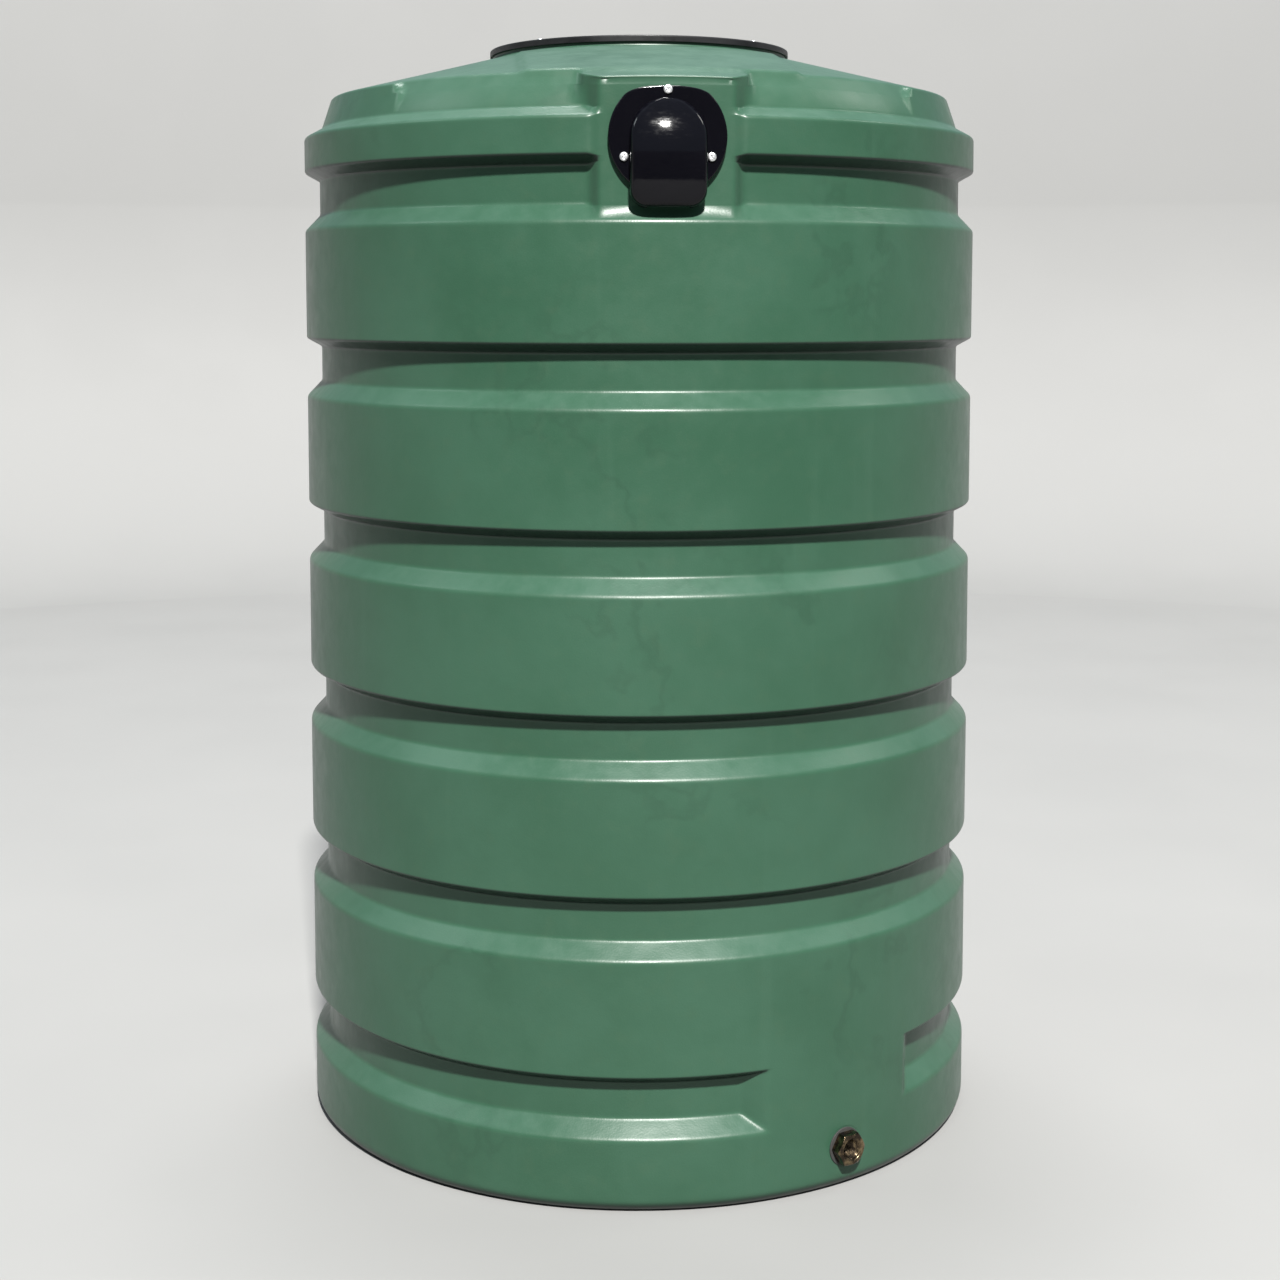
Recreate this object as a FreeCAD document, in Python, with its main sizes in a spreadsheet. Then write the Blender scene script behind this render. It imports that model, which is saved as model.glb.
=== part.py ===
import FreeCAD, Part
import os
import re
import Sketcher
from FreeCAD import Placement, Rotation, Vector

# Round rainwater tank of moulded plastic, free-standing, with a strainer in its roof,
# an overflow at the front under the eave and a threaded outlet near the ground.
# Millimetres. Z points up, the ground is at 0, and the overflow faces -Y.

SIZES = {
    # wall
    "band_radius": 457,
    "groove_depth": 20,
    "wall": 6.5,
    "band_pitch": 221.7,
    "groove_count": 6,
    "first_groove": 169.2,
    "underside_drop": 11,
    "groove_span": 57,
    "shoulder_rise": 21,
    "segments": 12,
    # base
    "foot_radius": 18,
    "foot_height": 22,
    # top of the wall and roof
    "top_band": 44.5,
    "fascia_set_in": 23,
    "fascia_set_up": 12.5,
    "fascia_rise": 40,
    "fascia_lean": 13.6,
    "roof_slope": 14.4,
    "neck_radius": 201,
    "neck_rise": 10.3,
    # flat pad that carries the overflow
    "pad_set_back": 14,
    "pad_half_width": 80,
    "pad_flare": 0.7,
    "pad_root": 60,
    "recess_flare": 2.2,
    # filled part of the lowest groove, round the outlet
    "fill_half_angle": 13.3,
    "fill_end_angle": 14.8,
    "fill_margin": 20,
    # overflow
    "overflow_drop": 77.2,
    "overflow_gasket": 3,
    "overflow_bore": 44,
    "flange_radius": 70,
    "flange_thick": 5,
    "flange_flat": 60,
    "hood_radius": 45,
    "hood_wall": 3,
    "hood_depth": 28,
    "hood_edge": 2,
    "hood_belly": 30,
    "hood_drop": 83,
    "hood_corner": 20,
    "screen_lap": 4,
    "screen_thick": 1.2,
    "screw_rise": 54.5,
    "screw_aside": 51.5,
    "screw_fall": 23.5,
    "screw_shank": 2.5,
    "screw_head": 5.5,
    "screw_head_thick": 3.5,
    "screw_length": 22,
    # outlet
    "outlet_height": 53,
    "outlet_seat_radius": 26,
    "outlet_seat_depth": 1.1,
    "outlet_thread_radius": 12.1,
    "outlet_shank_radius": 16.5,
    "outlet_hex_flat": 19,
    "outlet_hex_thick": 14,
    "outlet_washer_radius": 24,
    "outlet_washer_thick": 2,
    "outlet_nut_flat": 23,
    "outlet_nut_thick": 9,
    "outlet_shank_spare": 3,
    # strainer
    "rim_plate": 4,
    "rim_lip_drop": 4.5,
    "rim_lip_thick": 3,
    "basket_wall": 3,
    "basket_gap": 2,
    "basket_taper": 6,
    "basket_depth": 55,
    "basket_ledge": 14,
    "grid_thick": 3,
    "grid_hub_radius": 22,
    "grid_spoke_width": 7,
    "grid_spoke_count": 8,
    "grid_ring_radius": 95,
    "mesh_thick": 0.8,
    "strainer_screw_count": 4,
    "strainer_screw_shank": 1.6,
    "strainer_screw_head": 3.6,
    "strainer_screw_length": 12,
    # play between pieces
    "play": 0.3,
}

doc = FreeCAD.newDocument("WaterTank")
sheet = doc.addObject("Spreadsheet::Sheet", "Sizes")
nodes = []


# Sheet, expressions and small helpers

def fill_sheet():
    """Put every size in column A of the sheet under its own alias."""
    for row, (alias, value) in enumerate(SIZES.items(), start=1):
        sheet.set(f"A{row}", str(value))
        sheet.setAlias(f"A{row}", alias)
    doc.recompute()


def linked(text):
    """The expression with each alias written as a reference to the sheet."""
    return re.sub(r"[a-z_]+", lambda word: f"Sizes.{word[0]}" if word[0] in SIZES else word[0], text)


def value(text):
    """The number that an expression gives now."""
    result = sheet.evalExpression(text)
    return float(getattr(result, "Value", result))


def bind(item, **expressions):
    """Bind properties of an object to expressions; two underscores stand for a dot."""
    for name, text in expressions.items():
        item.setExpression(name.replace("__", "."), linked(text))
    return item


def keep(item, label):
    """Name a finished sub-part, and keep it for writing."""
    item.Label = label
    nodes.append(item)
    return item


def radius_plane():
    """Sketch placement with x away from the axis towards the front and y up."""
    return Placement(Vector(), Rotation(Vector(0, -1, 0), Vector(0, 0, 1), Vector(-1, 0, 0), "XYZ"))


def draw_outline(sketch, corners):
    """Draw a closed outline of straight lines with both coordinates of each corner bound."""
    points = [Vector(value(x), value(y), 0) for x, y in corners]
    for first, second in zip(points, points[1:] + points[:1]):
        sketch.addGeometry(Part.LineSegment(first, second), False)
    count = len(points)
    rules = [Sketcher.Constraint("Coincident", i, 2, (i + 1) % count, 1) for i in range(count)]
    for i, point in enumerate(points):
        rules.append(Sketcher.Constraint("DistanceX", -1, 1, i, 1, point.x))
        rules.append(Sketcher.Constraint("DistanceY", -1, 1, i, 1, point.y))
    sketch.addConstraint(rules)
    for i, (x, y) in enumerate(corners):
        sketch.setExpression(f"Constraints[{count + 2 * i}]", linked(x))
        sketch.setExpression(f"Constraints[{count + 2 * i + 1}]", linked(y))
    return sketch


def draw_circle(sketch, x, y, radius):
    """Draw a circle with its centre and radius bound."""
    centre = Vector(value(x), value(y), 0)
    ring = sketch.addGeometry(Part.Circle(centre, Vector(0, 0, 1), value(radius)), False)
    rules = [
        Sketcher.Constraint("DistanceX", -1, 1, ring, 3, centre.x),
        Sketcher.Constraint("DistanceY", -1, 1, ring, 3, centre.y),
        Sketcher.Constraint("Radius", ring, value(radius)),
    ]
    for number, text in zip(sketch.addConstraint(rules), (x, y, radius)):
        sketch.setExpression(f"Constraints[{number}]", linked(text))
    return sketch


def free_sketch(name, placement):
    """A sketch that belongs to no body."""
    sketch = doc.addObject("Sketcher::SketchObject", name)
    sketch.Placement = placement
    return sketch


def sector(name, corners, angle):
    """Revolve an outline round the tank's axis, half of the angle to each side of the front."""
    turned = doc.addObject("Part::Revolution", name)
    turned.Source = draw_outline(free_sketch(name + "_outline", radius_plane()), corners)
    turned.Axis = Vector(0, 0, 1)
    turned.Symmetric = True
    turned.Solid = True
    return bind(turned, Angle=angle)


def upright(name, corners, low, high):
    """Extrude a plan outline from a low to a high level."""
    sketch = draw_outline(free_sketch(name + "_plan", Placement()), corners)
    bind(sketch, Placement__Base__z=low)
    column = doc.addObject("Part::Extrusion", name)
    column.Base = sketch
    column.DirMode = "Normal"
    column.Solid = True
    return bind(column, LengthFwd=f"({high}) - ({low})")


def front_drill(name, across, up, radius, near, far):
    """A cylinder along Y, from the distance near to the distance far in front of the axis."""
    drill = doc.addObject("Part::Cylinder", name)
    drill.Placement = Placement(Vector(), Rotation(Vector(1, 0, 0), 90))
    return bind(drill, Radius=radius, Height=f"({far}) - ({near})", Placement__Base__x=across,
                Placement__Base__y=f"-({near})", Placement__Base__z=up)


def front_block(name, half, low, high, near, far):
    """A block with a half width between two levels, from near to far in front of the axis."""
    block = doc.addObject("Part::Box", name)
    return bind(block, Length=f"2 * ({half})", Width=f"({far}) - ({near})", Height=f"({high}) - ({low})",
                Placement__Base__x=f"-({half})", Placement__Base__y=f"-({far})", Placement__Base__z=low)


def cut(name, base, tool):
    """Base without tool."""
    result = doc.addObject("Part::Cut", name)
    result.Base = base
    result.Tool = tool
    return result


def common(name, first, second):
    """What two solids share."""
    result = doc.addObject("Part::Common", name)
    result.Base = first
    result.Tool = second
    return result


def fuse(name, shapes):
    """Several solids as one."""
    result = doc.addObject("Part::MultiFuse", name)
    result.Shapes = shapes
    result.Refine = True
    return result


def body_on(name):
    """A new body."""
    return doc.addObject("PartDesign::Body", name)


def body_sketch(body, name, role, lift="0"):
    """A sketch on one of the body's own planes, lifted along that plane's normal."""
    sketch = body.newObject("Sketcher::SketchObject", name)
    plane = next(item for item in body.Origin.OriginFeatures if item.Role == role)
    sketch.AttachmentSupport = [(plane, "")]
    sketch.MapMode = "FlatFace"
    return bind(sketch, AttachmentOffset__Base__z=lift)


def pad(body, sketch, length):
    """Thicken a sketch along its normal."""
    feature = body.newObject("PartDesign::Pad", sketch.Name + "_pad")
    feature.Profile = sketch
    return bind(feature, Length=length)


def pocket(body, sketch, length):
    """Cut a sketch into the body, against its normal."""
    feature = body.newObject("PartDesign::Pocket", sketch.Name + "_pocket")
    feature.Profile = sketch
    return bind(feature, Length=length)


def polar(body, feature, role, count):
    """Repeat a feature round one of the body's axes."""
    axis = next(item for item in body.Origin.OriginFeatures if item.Role == role)
    pattern = body.newObject("PartDesign::PolarPattern", feature.Name + "_round")
    pattern.Originals = [feature]
    pattern.Axis = (axis, [""])
    bind(pattern, Occurrences=count)
    body.Tip = pattern
    return pattern


def turn(item, angle):
    """Turn a sub-part round the tank's axis."""
    return bind(item, Placement__Rotation__Angle=angle)


def front_hexagon(sketch, up, flat):
    """Corners of a hexagon with the given half width across its flats, a corner at each side."""
    corners = []
    for across, rise in ((2, 0), (1, 1), (-1, 1), (-2, 0), (-1, -1), (1, -1)):
        corners.append((f"{across} * ({flat}) / sqrt(3)", f"{up} + {rise} * ({flat})"))
    return draw_outline(sketch, corners)


# Levels and distances that several pieces share

TOP_BAND_EDGE = "first_groove + (groove_count - 1) * band_pitch"
FASCIA_FOOT = f"{TOP_BAND_EDGE} + top_band + fascia_set_up"
EAVE_HEIGHT = f"{FASCIA_FOOT} + fascia_rise"
EAVE_RADIUS = "band_radius - fascia_set_in - fascia_lean"
SLOPE = "tan(roof_slope * 1 deg)"
ROOF_THICK = "wall / cos(roof_slope * 1 deg)"
NECK_FOOT = f"{EAVE_HEIGHT} + ({EAVE_RADIUS} - neck_radius) * {SLOPE}"
NECK_TOP = f"{NECK_FOOT} + neck_rise"
SEGMENT_ANGLE = "360 / segments"
PAD_FACE = "(band_radius - pad_set_back)"
OVERFLOW_HEIGHT = f"({EAVE_HEIGHT} - overflow_drop)"


def under_roof(radius):
    """Height of the roof's underside at a distance from the axis, on past the eave too."""
    return f"{EAVE_HEIGHT} - {ROOF_THICK} + ({EAVE_RADIUS} - ({radius})) * {SLOPE}"


# Wall

def bend_shift(rise, run):
    """Shift along a wall of thickness wall from an outer corner to the inner one behind it."""
    return f"wall * (sqrt(({rise}) ^ 2 + ({run}) ^ 2) - ({rise})) / ({run})"


def outer_corners():
    """The outside of the wall from the foot up: radius and height of each corner."""
    corners = [("band_radius", "foot_height")]
    for groove in range(int(SIZES["groove_count"])):
        edge = f"first_groove + {groove} * band_pitch"
        corners += [
            ("band_radius", f"{edge} - groove_span - shoulder_rise"),
            ("band_radius - groove_depth", f"{edge} - groove_span"),
            ("band_radius - groove_depth", f"{edge} - underside_drop"),
            ("band_radius", edge),
        ]
    return corners + [
        ("band_radius", f"{TOP_BAND_EDGE} + top_band"),
        ("band_radius - fascia_set_in", FASCIA_FOOT),
        (EAVE_RADIUS, under_roof(EAVE_RADIUS)),
    ]


def inner_corners():
    """The inside of the wall from the foot up, one wall's thickness behind the outside."""
    shoulder = bend_shift("shoulder_rise", "groove_depth")
    underside = bend_shift("underside_drop", "groove_depth")
    inner_band = "band_radius - wall"
    inner_groove = "band_radius - groove_depth - wall"
    inner_fascia = "band_radius - fascia_set_in - wall"
    inner_eave = f"{EAVE_RADIUS} - wall"
    corners = [(inner_band, "foot_height")]
    for groove in range(int(SIZES["groove_count"])):
        edge = f"first_groove + {groove} * band_pitch"
        corners += [
            (inner_band, f"{edge} - groove_span - shoulder_rise - {shoulder}"),
            (inner_groove, f"{edge} - groove_span - {shoulder}"),
            (inner_groove, f"{edge} - underside_drop + {underside}"),
            (inner_band, f"{edge} + {underside}"),
        ]
    cap = bend_shift("fascia_set_up", "fascia_set_in")
    return corners + [
        (inner_band, f"{TOP_BAND_EDGE} + top_band - {cap}"),
        (inner_fascia, f"{FASCIA_FOOT} - {cap}"),
        (inner_eave, under_roof(inner_eave)),
    ]


def to_axis(corners):
    """Close one side of the wall to the axis, below the roof and above the foot."""
    return corners + [("0", under_roof("0")), ("0", "foot_height")]


def make_plain_segments():
    """The segments of the wall that carry nothing, each turned to its own place."""
    closed = outer_corners() + inner_corners()[::-1]
    outline = draw_outline(free_sketch("wall_outline", radius_plane()), closed)
    for number in range(2, int(SIZES["segments"])):
        segment = doc.addObject("Part::Revolution", f"wall_segment_{number + 1:02d}")
        segment.Source = outline
        segment.Axis = Vector(0, 0, 1)
        segment.Symmetric = True
        segment.Solid = True
        bind(segment, Angle=SEGMENT_ANGLE)
        keep(turn(segment, f"{number} * 360 / segments"), f"wall_segment_{number + 1:02d}")


def pad_plan(back, sign):
    """Plan of the block that fills the wall out to the pad, a distance back from its face."""
    half = f"pad_half_width {sign} {back} * (sqrt(1 + pad_flare ^ 2) - pad_flare)"
    face = f"-({PAD_FACE} - {back})"
    root = f"-({PAD_FACE} - {back} - pad_root)"
    wide = f"{half} + pad_flare * pad_root"
    return [(half, face), (wide, root), (f"-({wide})", root), (f"-({half})", face)]


def recess_plan(back):
    """Plan of what is taken off in front of the pad, a distance back from its face."""
    half = f"pad_half_width + {back} * (sqrt(1 + recess_flare ^ 2) - recess_flare)"
    face = f"-({PAD_FACE} - {back})"
    reach = f"(pad_set_back + {back})"
    wide = f"{half} + recess_flare * {reach}"
    return [(half, face), (f"-({half})", face), (f"-({wide})", "-band_radius"), (wide, "-band_radius")]


def pad_core(name, corners, back):
    """One side of the wall closed to the axis, with the overflow's pad worked into it."""
    low = f"{TOP_BAND_EDGE} - groove_span"
    high = f"{EAVE_HEIGHT} + band_radius"
    core = sector(name + "_core", to_axis(corners), SEGMENT_ANGLE)
    recess = upright(name + "_recess", recess_plan(back), low, high)
    block = upright(name + "_block", pad_plan(back, "-"), f"{low} - groove_span", high)
    roof_line = [
        ("0", "foot_height"),
        ("band_radius", "foot_height"),
        ("band_radius", under_roof("band_radius")),
        ("0", under_roof("0")),
    ]
    below_roof = sector(name + "_below_roof", roof_line, SEGMENT_ANGLE)
    lower_block = common(name + "_lower_block", block, below_roof)
    return fuse(name, [cut(name + "_cored", core, recess), lower_block])


def overflow_screw_places():
    """Sideways and upward place of each overflow screw: one on top and one at each side, lower down."""
    low = f"{OVERFLOW_HEIGHT} - screw_fall"
    return [("0", f"{OVERFLOW_HEIGHT} + screw_rise"), ("-screw_aside", low), ("screw_aside", low)]


def make_overflow_segment():
    """The front segment of the wall, with the flat pad under the eave and its holes."""
    outside = pad_core("pad_outside", outer_corners(), "0")
    inside = pad_core("pad_inside", inner_corners(), "wall")
    shell = cut("overflow_shell", outside, inside)
    near = f"{PAD_FACE} - 2 * wall"
    far = f"{PAD_FACE} + wall"
    drills = [front_drill("overflow_hole", "0", OVERFLOW_HEIGHT, "overflow_bore", near, far)]
    for number, (across, up) in enumerate(overflow_screw_places()):
        drills.append(front_drill(f"overflow_screw_hole_{number}", across, up, "screw_shank", near, far))
    keep(cut("wall_overflow_segment", shell, fuse("overflow_drills", drills)), "wall_overflow_segment")


def fill_plan(radius):
    """Plan of the block that fills the groove out to a radius, with sloping ends."""
    def place(angle, distance):
        return (f"({distance}) * sin({angle} * 1 deg)", f"-({distance}) * cos({angle} * 1 deg)")

    root = "band_radius - 3 * groove_depth"
    right = [
        place("fill_half_angle", radius),
        place("fill_end_angle", "band_radius - groove_depth - wall"),
        place("fill_end_angle", root),
    ]
    left = [(f"-({x})", y) for x, y in reversed(right)]
    return right + left


def fill_block(name, radius):
    """The block that fills the lowest groove round the outlet, rounded to the band's radius."""
    low = "first_groove - groove_span - shoulder_rise - fill_margin"
    high = "first_groove + fill_margin"
    block = upright(name + "_wedge", fill_plan(f"({radius}) / cos(fill_half_angle * 1 deg)"), low, high)
    drum = doc.addObject("Part::Cylinder", name + "_drum")
    bind(drum, Radius=radius, Height=f"({high}) - ({low})", Placement__Base__z=low)
    return common(name, block, drum)


def make_outlet_segment():
    """The segment with the outlet: its lowest groove is filled, and it has a flat seat and a hole."""
    outside = sector("outlet_outside", to_axis(outer_corners()), SEGMENT_ANGLE)
    inside = sector("outlet_inside", to_axis(inner_corners()), SEGMENT_ANGLE)
    outer_fill = fill_block("outlet_outer_fill", "band_radius")
    inner_fill = fill_block("outlet_inner_fill", "band_radius - wall")
    shell = cut("outlet_shell", fuse("outlet_full", [outside, outer_fill]),
                fuse("outlet_hollow", [inside, inner_fill]))
    face = "band_radius - outlet_seat_depth"
    back = f"{face} - wall"
    seat = front_drill("outlet_seat", "0", "outlet_height", "outlet_seat_radius", back, face)
    spot = front_drill("outlet_spot", "0", "outlet_height", "outlet_seat_radius", face, "band_radius + wall")
    hole = front_drill("outlet_hole", "0", "outlet_height", "outlet_shank_radius + play",
                       f"{back} - wall", "band_radius + wall")
    seated = cut("outlet_seated", fuse("outlet_thick", [shell, seat]), fuse("outlet_drills", [spot, hole]))
    keep(turn(seated, "360 / segments"), "wall_outlet_segment")


# Base

def ring_edge(feature, radius, height):
    """Name of a feature's circular edge at a radius and height round the axis."""
    for number, edge in enumerate(feature.Shape.Edges, start=1):
        curve = edge.Curve
        if isinstance(curve, Part.Circle) and abs(curve.Radius - value(radius)) < 0.01:
            if abs(curve.Center.z - value(height)) < 0.01:
                return f"Edge{number}"
    raise RuntimeError(f"{feature.Label} has no edge at radius {radius} and height {height}")


def rounded(body, feature, radius, height, size):
    """Round a circular edge of a body."""
    doc.recompute()
    fillet = body.newObject("PartDesign::Fillet", feature.Name + "_round")
    fillet.Base = (feature, [ring_edge(feature, radius, height)])
    return bind(fillet, Radius=size)


def make_floor():
    """The floor with its rounded foot, turned up to meet the wall."""
    inner = "band_radius - wall"
    section = [("0", "0"), ("band_radius", "0"), ("band_radius", "foot_height"), (inner, "foot_height"),
               (inner, "wall"), ("0", "wall")]
    body = body_on("floor_body")
    sketch = draw_outline(body_sketch(body, "floor_section", "XZ_Plane"), section)
    turned = body.newObject("PartDesign::Revolution", "floor_turned")
    turned.Profile = sketch
    turned.ReferenceAxis = (sketch, ["V_Axis"])
    turned.Angle = 360
    outside = rounded(body, turned, "band_radius", "0", "foot_radius")
    rounded(body, outside, inner, "wall", "foot_radius - wall")
    keep(body, "tank_floor")


# Roof

def make_roof():
    """The conical roof with the neck that holds the strainer, and a tongue over the overflow's pad."""
    lip = "neck_radius - wall"
    cone = [
        (EAVE_RADIUS, under_roof(EAVE_RADIUS)),
        (EAVE_RADIUS, EAVE_HEIGHT),
        ("neck_radius", NECK_FOOT),
        ("neck_radius", NECK_TOP),
        (lip, NECK_TOP),
        (lip, under_roof(lip)),
    ]
    cap = sector("roof_cap", cone, "360")
    far_top = f"{EAVE_HEIGHT} - (band_radius - ({EAVE_RADIUS})) * {SLOPE}"
    apron = [
        (EAVE_RADIUS + " - wall", under_roof(EAVE_RADIUS + " - wall")),
        ("band_radius", under_roof("band_radius")),
        ("band_radius", far_top),
        (EAVE_RADIUS + " - wall", f"{EAVE_HEIGHT} + wall * {SLOPE}"),
    ]
    tongue = common("roof_tongue", sector("roof_apron", apron, SEGMENT_ANGLE),
                    upright("roof_tongue_block", pad_plan("0", "-"), EAVE_HEIGHT + " - band_radius",
                            EAVE_HEIGHT + " + band_radius"))
    drills = []
    for number in range(int(SIZES["strainer_screw_count"])):
        drill = doc.addObject("Part::Cylinder", f"neck_screw_hole_{number}")
        across, along = strainer_screw_place(number)
        depth = "strainer_screw_length - rim_plate"
        bind(drill, Radius="strainer_screw_shank", Height=depth, Placement__Base__x=across,
             Placement__Base__y=along, Placement__Base__z=f"{NECK_TOP} - ({depth})")
        drills.append(drill)
    roof = cut("roof", fuse("roof_whole", [cap, tongue]), fuse("neck_screw_holes", drills))
    keep(roof, "roof")


# Strainer

def strainer_screw_place(number):
    """Plan place of a strainer screw, over the middle of the neck's wall."""
    angle = f"(({number} + 0.5) * 360 / strainer_screw_count) * 1 deg"
    circle = "(neck_radius - wall / 2)"
    return f"{circle} * cos({angle})", f"{circle} * sin({angle})"


def make_strainer():
    """The basket that hangs in the neck, its bottom grid, the mesh on it and its screws."""
    top = f"{NECK_TOP} + rim_plate"
    bottom = f"{NECK_TOP} - basket_depth"
    lip_inner = "neck_radius + play"
    lip_outer = f"{lip_inner} + rim_lip_thick"
    skirt = "neck_radius - wall - basket_gap"
    outline = [
        (lip_outer, top),
        (lip_outer, f"{NECK_TOP} - rim_lip_drop"),
        (lip_inner, f"{NECK_TOP} - rim_lip_drop"),
        (lip_inner, NECK_TOP),
        (skirt, NECK_TOP),
        (f"{skirt} - basket_taper", bottom),
        (f"{skirt} - basket_taper - basket_ledge", bottom),
        (f"{skirt} - basket_taper - basket_ledge", f"{bottom} + grid_thick"),
        (f"{skirt} - basket_taper - basket_wall", f"{bottom} + grid_thick"),
        (f"{skirt} - basket_wall", top),
    ]
    basket = sector("basket", outline, "360")
    drills = []
    screws = []
    for number in range(int(SIZES["strainer_screw_count"])):
        across, along = strainer_screw_place(number)
        place = {"Placement__Base__x": across, "Placement__Base__y": along}
        drill = doc.addObject("Part::Cylinder", f"rim_screw_hole_{number}")
        bind(drill, Radius="strainer_screw_shank", Height="rim_plate", Placement__Base__z=NECK_TOP, **place)
        drills.append(drill)
        shank = doc.addObject("Part::Cylinder", f"strainer_shank_{number}")
        bind(shank, Radius="strainer_screw_shank", Height="strainer_screw_length",
             Placement__Base__z=f"{top} - strainer_screw_length", **place)
        head = doc.addObject("Part::Cylinder", f"strainer_head_{number}")
        bind(head, Radius="strainer_screw_head", Height="strainer_screw_shank", Placement__Base__z=top, **place)
        screws += [shank, head]
    keep(cut("strainer_basket", basket, fuse("rim_screw_holes", drills)), "strainer_basket")
    keep(fuse("strainer_screws", screws), "strainer_screws")
    opening = f"{skirt} - basket_taper - basket_ledge"
    make_grid(bottom, opening)
    mesh = doc.addObject("Part::Cylinder", "mesh_disc")
    bind(mesh, Radius=f"{skirt} - basket_taper - basket_wall - play", Height="mesh_thick",
         Placement__Base__z=f"{bottom} + grid_thick")
    keep(mesh, "strainer_mesh")


def make_grid(bottom, opening):
    """Spokes, hub and middle ring that carry the mesh inside the basket's ledge."""
    body = body_on("grid_body")
    hub = draw_circle(body_sketch(body, "grid_hub", "XY_Plane", bottom), "0", "0", "grid_hub_radius")
    pad(body, hub, "grid_thick")
    ring = body_sketch(body, "grid_ring", "XY_Plane", bottom)
    draw_circle(ring, "0", "0", "grid_ring_radius + grid_spoke_width / 2")
    draw_circle(ring, "0", "0", "grid_ring_radius - grid_spoke_width / 2")
    pad(body, ring, "grid_thick")
    spoke = body_sketch(body, "grid_spoke", "XY_Plane", bottom)
    half = "grid_spoke_width / 2"
    draw_outline(spoke, [("0", f"-{half}"), (opening, f"-{half}"), (opening, half), ("0", half)])
    polar(body, pad(body, spoke, "grid_thick"), "Z_Axis", "grid_spoke_count")
    keep(body, "strainer_grid")


# Overflow

def flat_top(body, name, face, level, length):
    """Cut a disc off flat above a level."""
    block = body_sketch(body, name, "XZ_Plane", face)
    top = f"{level} + flange_radius"
    draw_outline(block, [("-flange_radius", level), ("flange_radius", level), ("flange_radius", top),
                         ("-flange_radius", top)])
    pocket(body, block, length)


def make_overflow():
    """Gasket, flange, screen, hood and screws of the overflow, from the pad outwards."""
    seat = f"{PAD_FACE} + overflow_gasket"
    face = f"{seat} + flange_thick"
    gasket = body_on("gasket_body")
    ring = body_sketch(gasket, "gasket_ring", "XZ_Plane", PAD_FACE)
    draw_circle(ring, "0", OVERFLOW_HEIGHT, "flange_radius - 1")
    draw_circle(ring, "0", OVERFLOW_HEIGHT, "overflow_bore")
    for across, up in overflow_screw_places():
        draw_circle(ring, across, up, "screw_shank")
    pad(gasket, ring, "overflow_gasket")
    flat_top(gasket, "gasket_flat", seat, f"{OVERFLOW_HEIGHT} + flange_flat - 1", "overflow_gasket")
    keep(gasket, "overflow_gasket")

    flange = body_on("flange_body")
    plate = body_sketch(flange, "flange_plate", "XZ_Plane", seat)
    draw_circle(plate, "0", OVERFLOW_HEIGHT, "flange_radius")
    draw_circle(plate, "0", OVERFLOW_HEIGHT, "overflow_bore")
    for across, up in overflow_screw_places():
        draw_circle(plate, across, up, "screw_shank")
    pad(flange, plate, "flange_thick")
    rebate = body_sketch(flange, "flange_rebate", "XZ_Plane", f"{seat} + screen_thick")
    draw_circle(rebate, "0", OVERFLOW_HEIGHT, "overflow_bore + screen_lap")
    pocket(flange, rebate, "screen_thick")
    flat_top(flange, "flange_flat", face, f"{OVERFLOW_HEIGHT} + flange_flat", "flange_thick")
    keep(flange, "overflow_flange")

    screen = front_drill("screen_disc", "0", OVERFLOW_HEIGHT, "overflow_bore + screen_lap", seat,
                         f"{seat} + screen_thick")
    keep(screen, "overflow_screen")
    make_hood(face)
    make_overflow_screws(face)


def hood_plan(name, inwards, near, far):
    """A block with a round top, straight sides and rounded lower corners, inwards from the hood's edge."""
    radius, corner = f"(hood_radius - {inwards})", f"(hood_corner - {inwards})"
    low = f"{OVERFLOW_HEIGHT} - hood_drop + hood_corner"
    half = "(hood_radius - hood_corner)"
    return [
        front_drill(name + "_top", "0", OVERFLOW_HEIGHT, radius, near, far),
        front_drill(name + "_left", f"-{half}", low, corner, near, far),
        front_drill(name + "_right", half, low, corner, near, far),
        front_block(name + "_sides", radius, low, OVERFLOW_HEIGHT, near, far),
        front_block(name + "_foot", half, f"{low} - {corner}", f"{low} + {corner}", near, far),
    ]


def hood_belly(name, inwards, face):
    """The drum across the hood whose front bulges out, most at a level below the overflow's centre."""
    rise = "(hood_depth - hood_edge)"
    radius = f"((hood_radius + hood_belly)^2 + {rise}^2) / (2 * {rise})"
    drum = doc.addObject("Part::Cylinder", name)
    drum.Placement = Placement(Vector(), Rotation(Vector(0, 1, 0), 90))
    return bind(drum, Radius=f"{radius} - {inwards}", Height="4 * hood_radius",
                Placement__Base__x="-2 * hood_radius", Placement__Base__y=f"{radius} - hood_depth - ({face})",
                Placement__Base__z=f"{OVERFLOW_HEIGHT} - hood_belly")


def make_hood(face):
    """The hood over the overflow: closed in front and at its sides, open in the middle of its foot."""
    far = f"{face} + 2 * hood_depth"
    outside = common("hood_outside", fuse("hood_block", hood_plan("hood_outer", "0", face, far)),
                     hood_belly("hood_outer_drum", "0", face))
    near = f"{face} - hood_wall"
    low = f"{OVERFLOW_HEIGHT} - hood_drop"
    mouth = front_block("hood_mouth", "hood_radius - hood_corner", f"{low} - hood_wall",
                        f"{low} + hood_corner", near, far)
    hollow = fuse("hood_hollow", hood_plan("hood_inner", "hood_wall", near, far) + [mouth])
    inside = common("hood_inside", hollow, hood_belly("hood_inner_drum", "hood_wall", face))
    keep(cut("overflow_hood", outside, inside), "overflow_hood")


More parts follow.
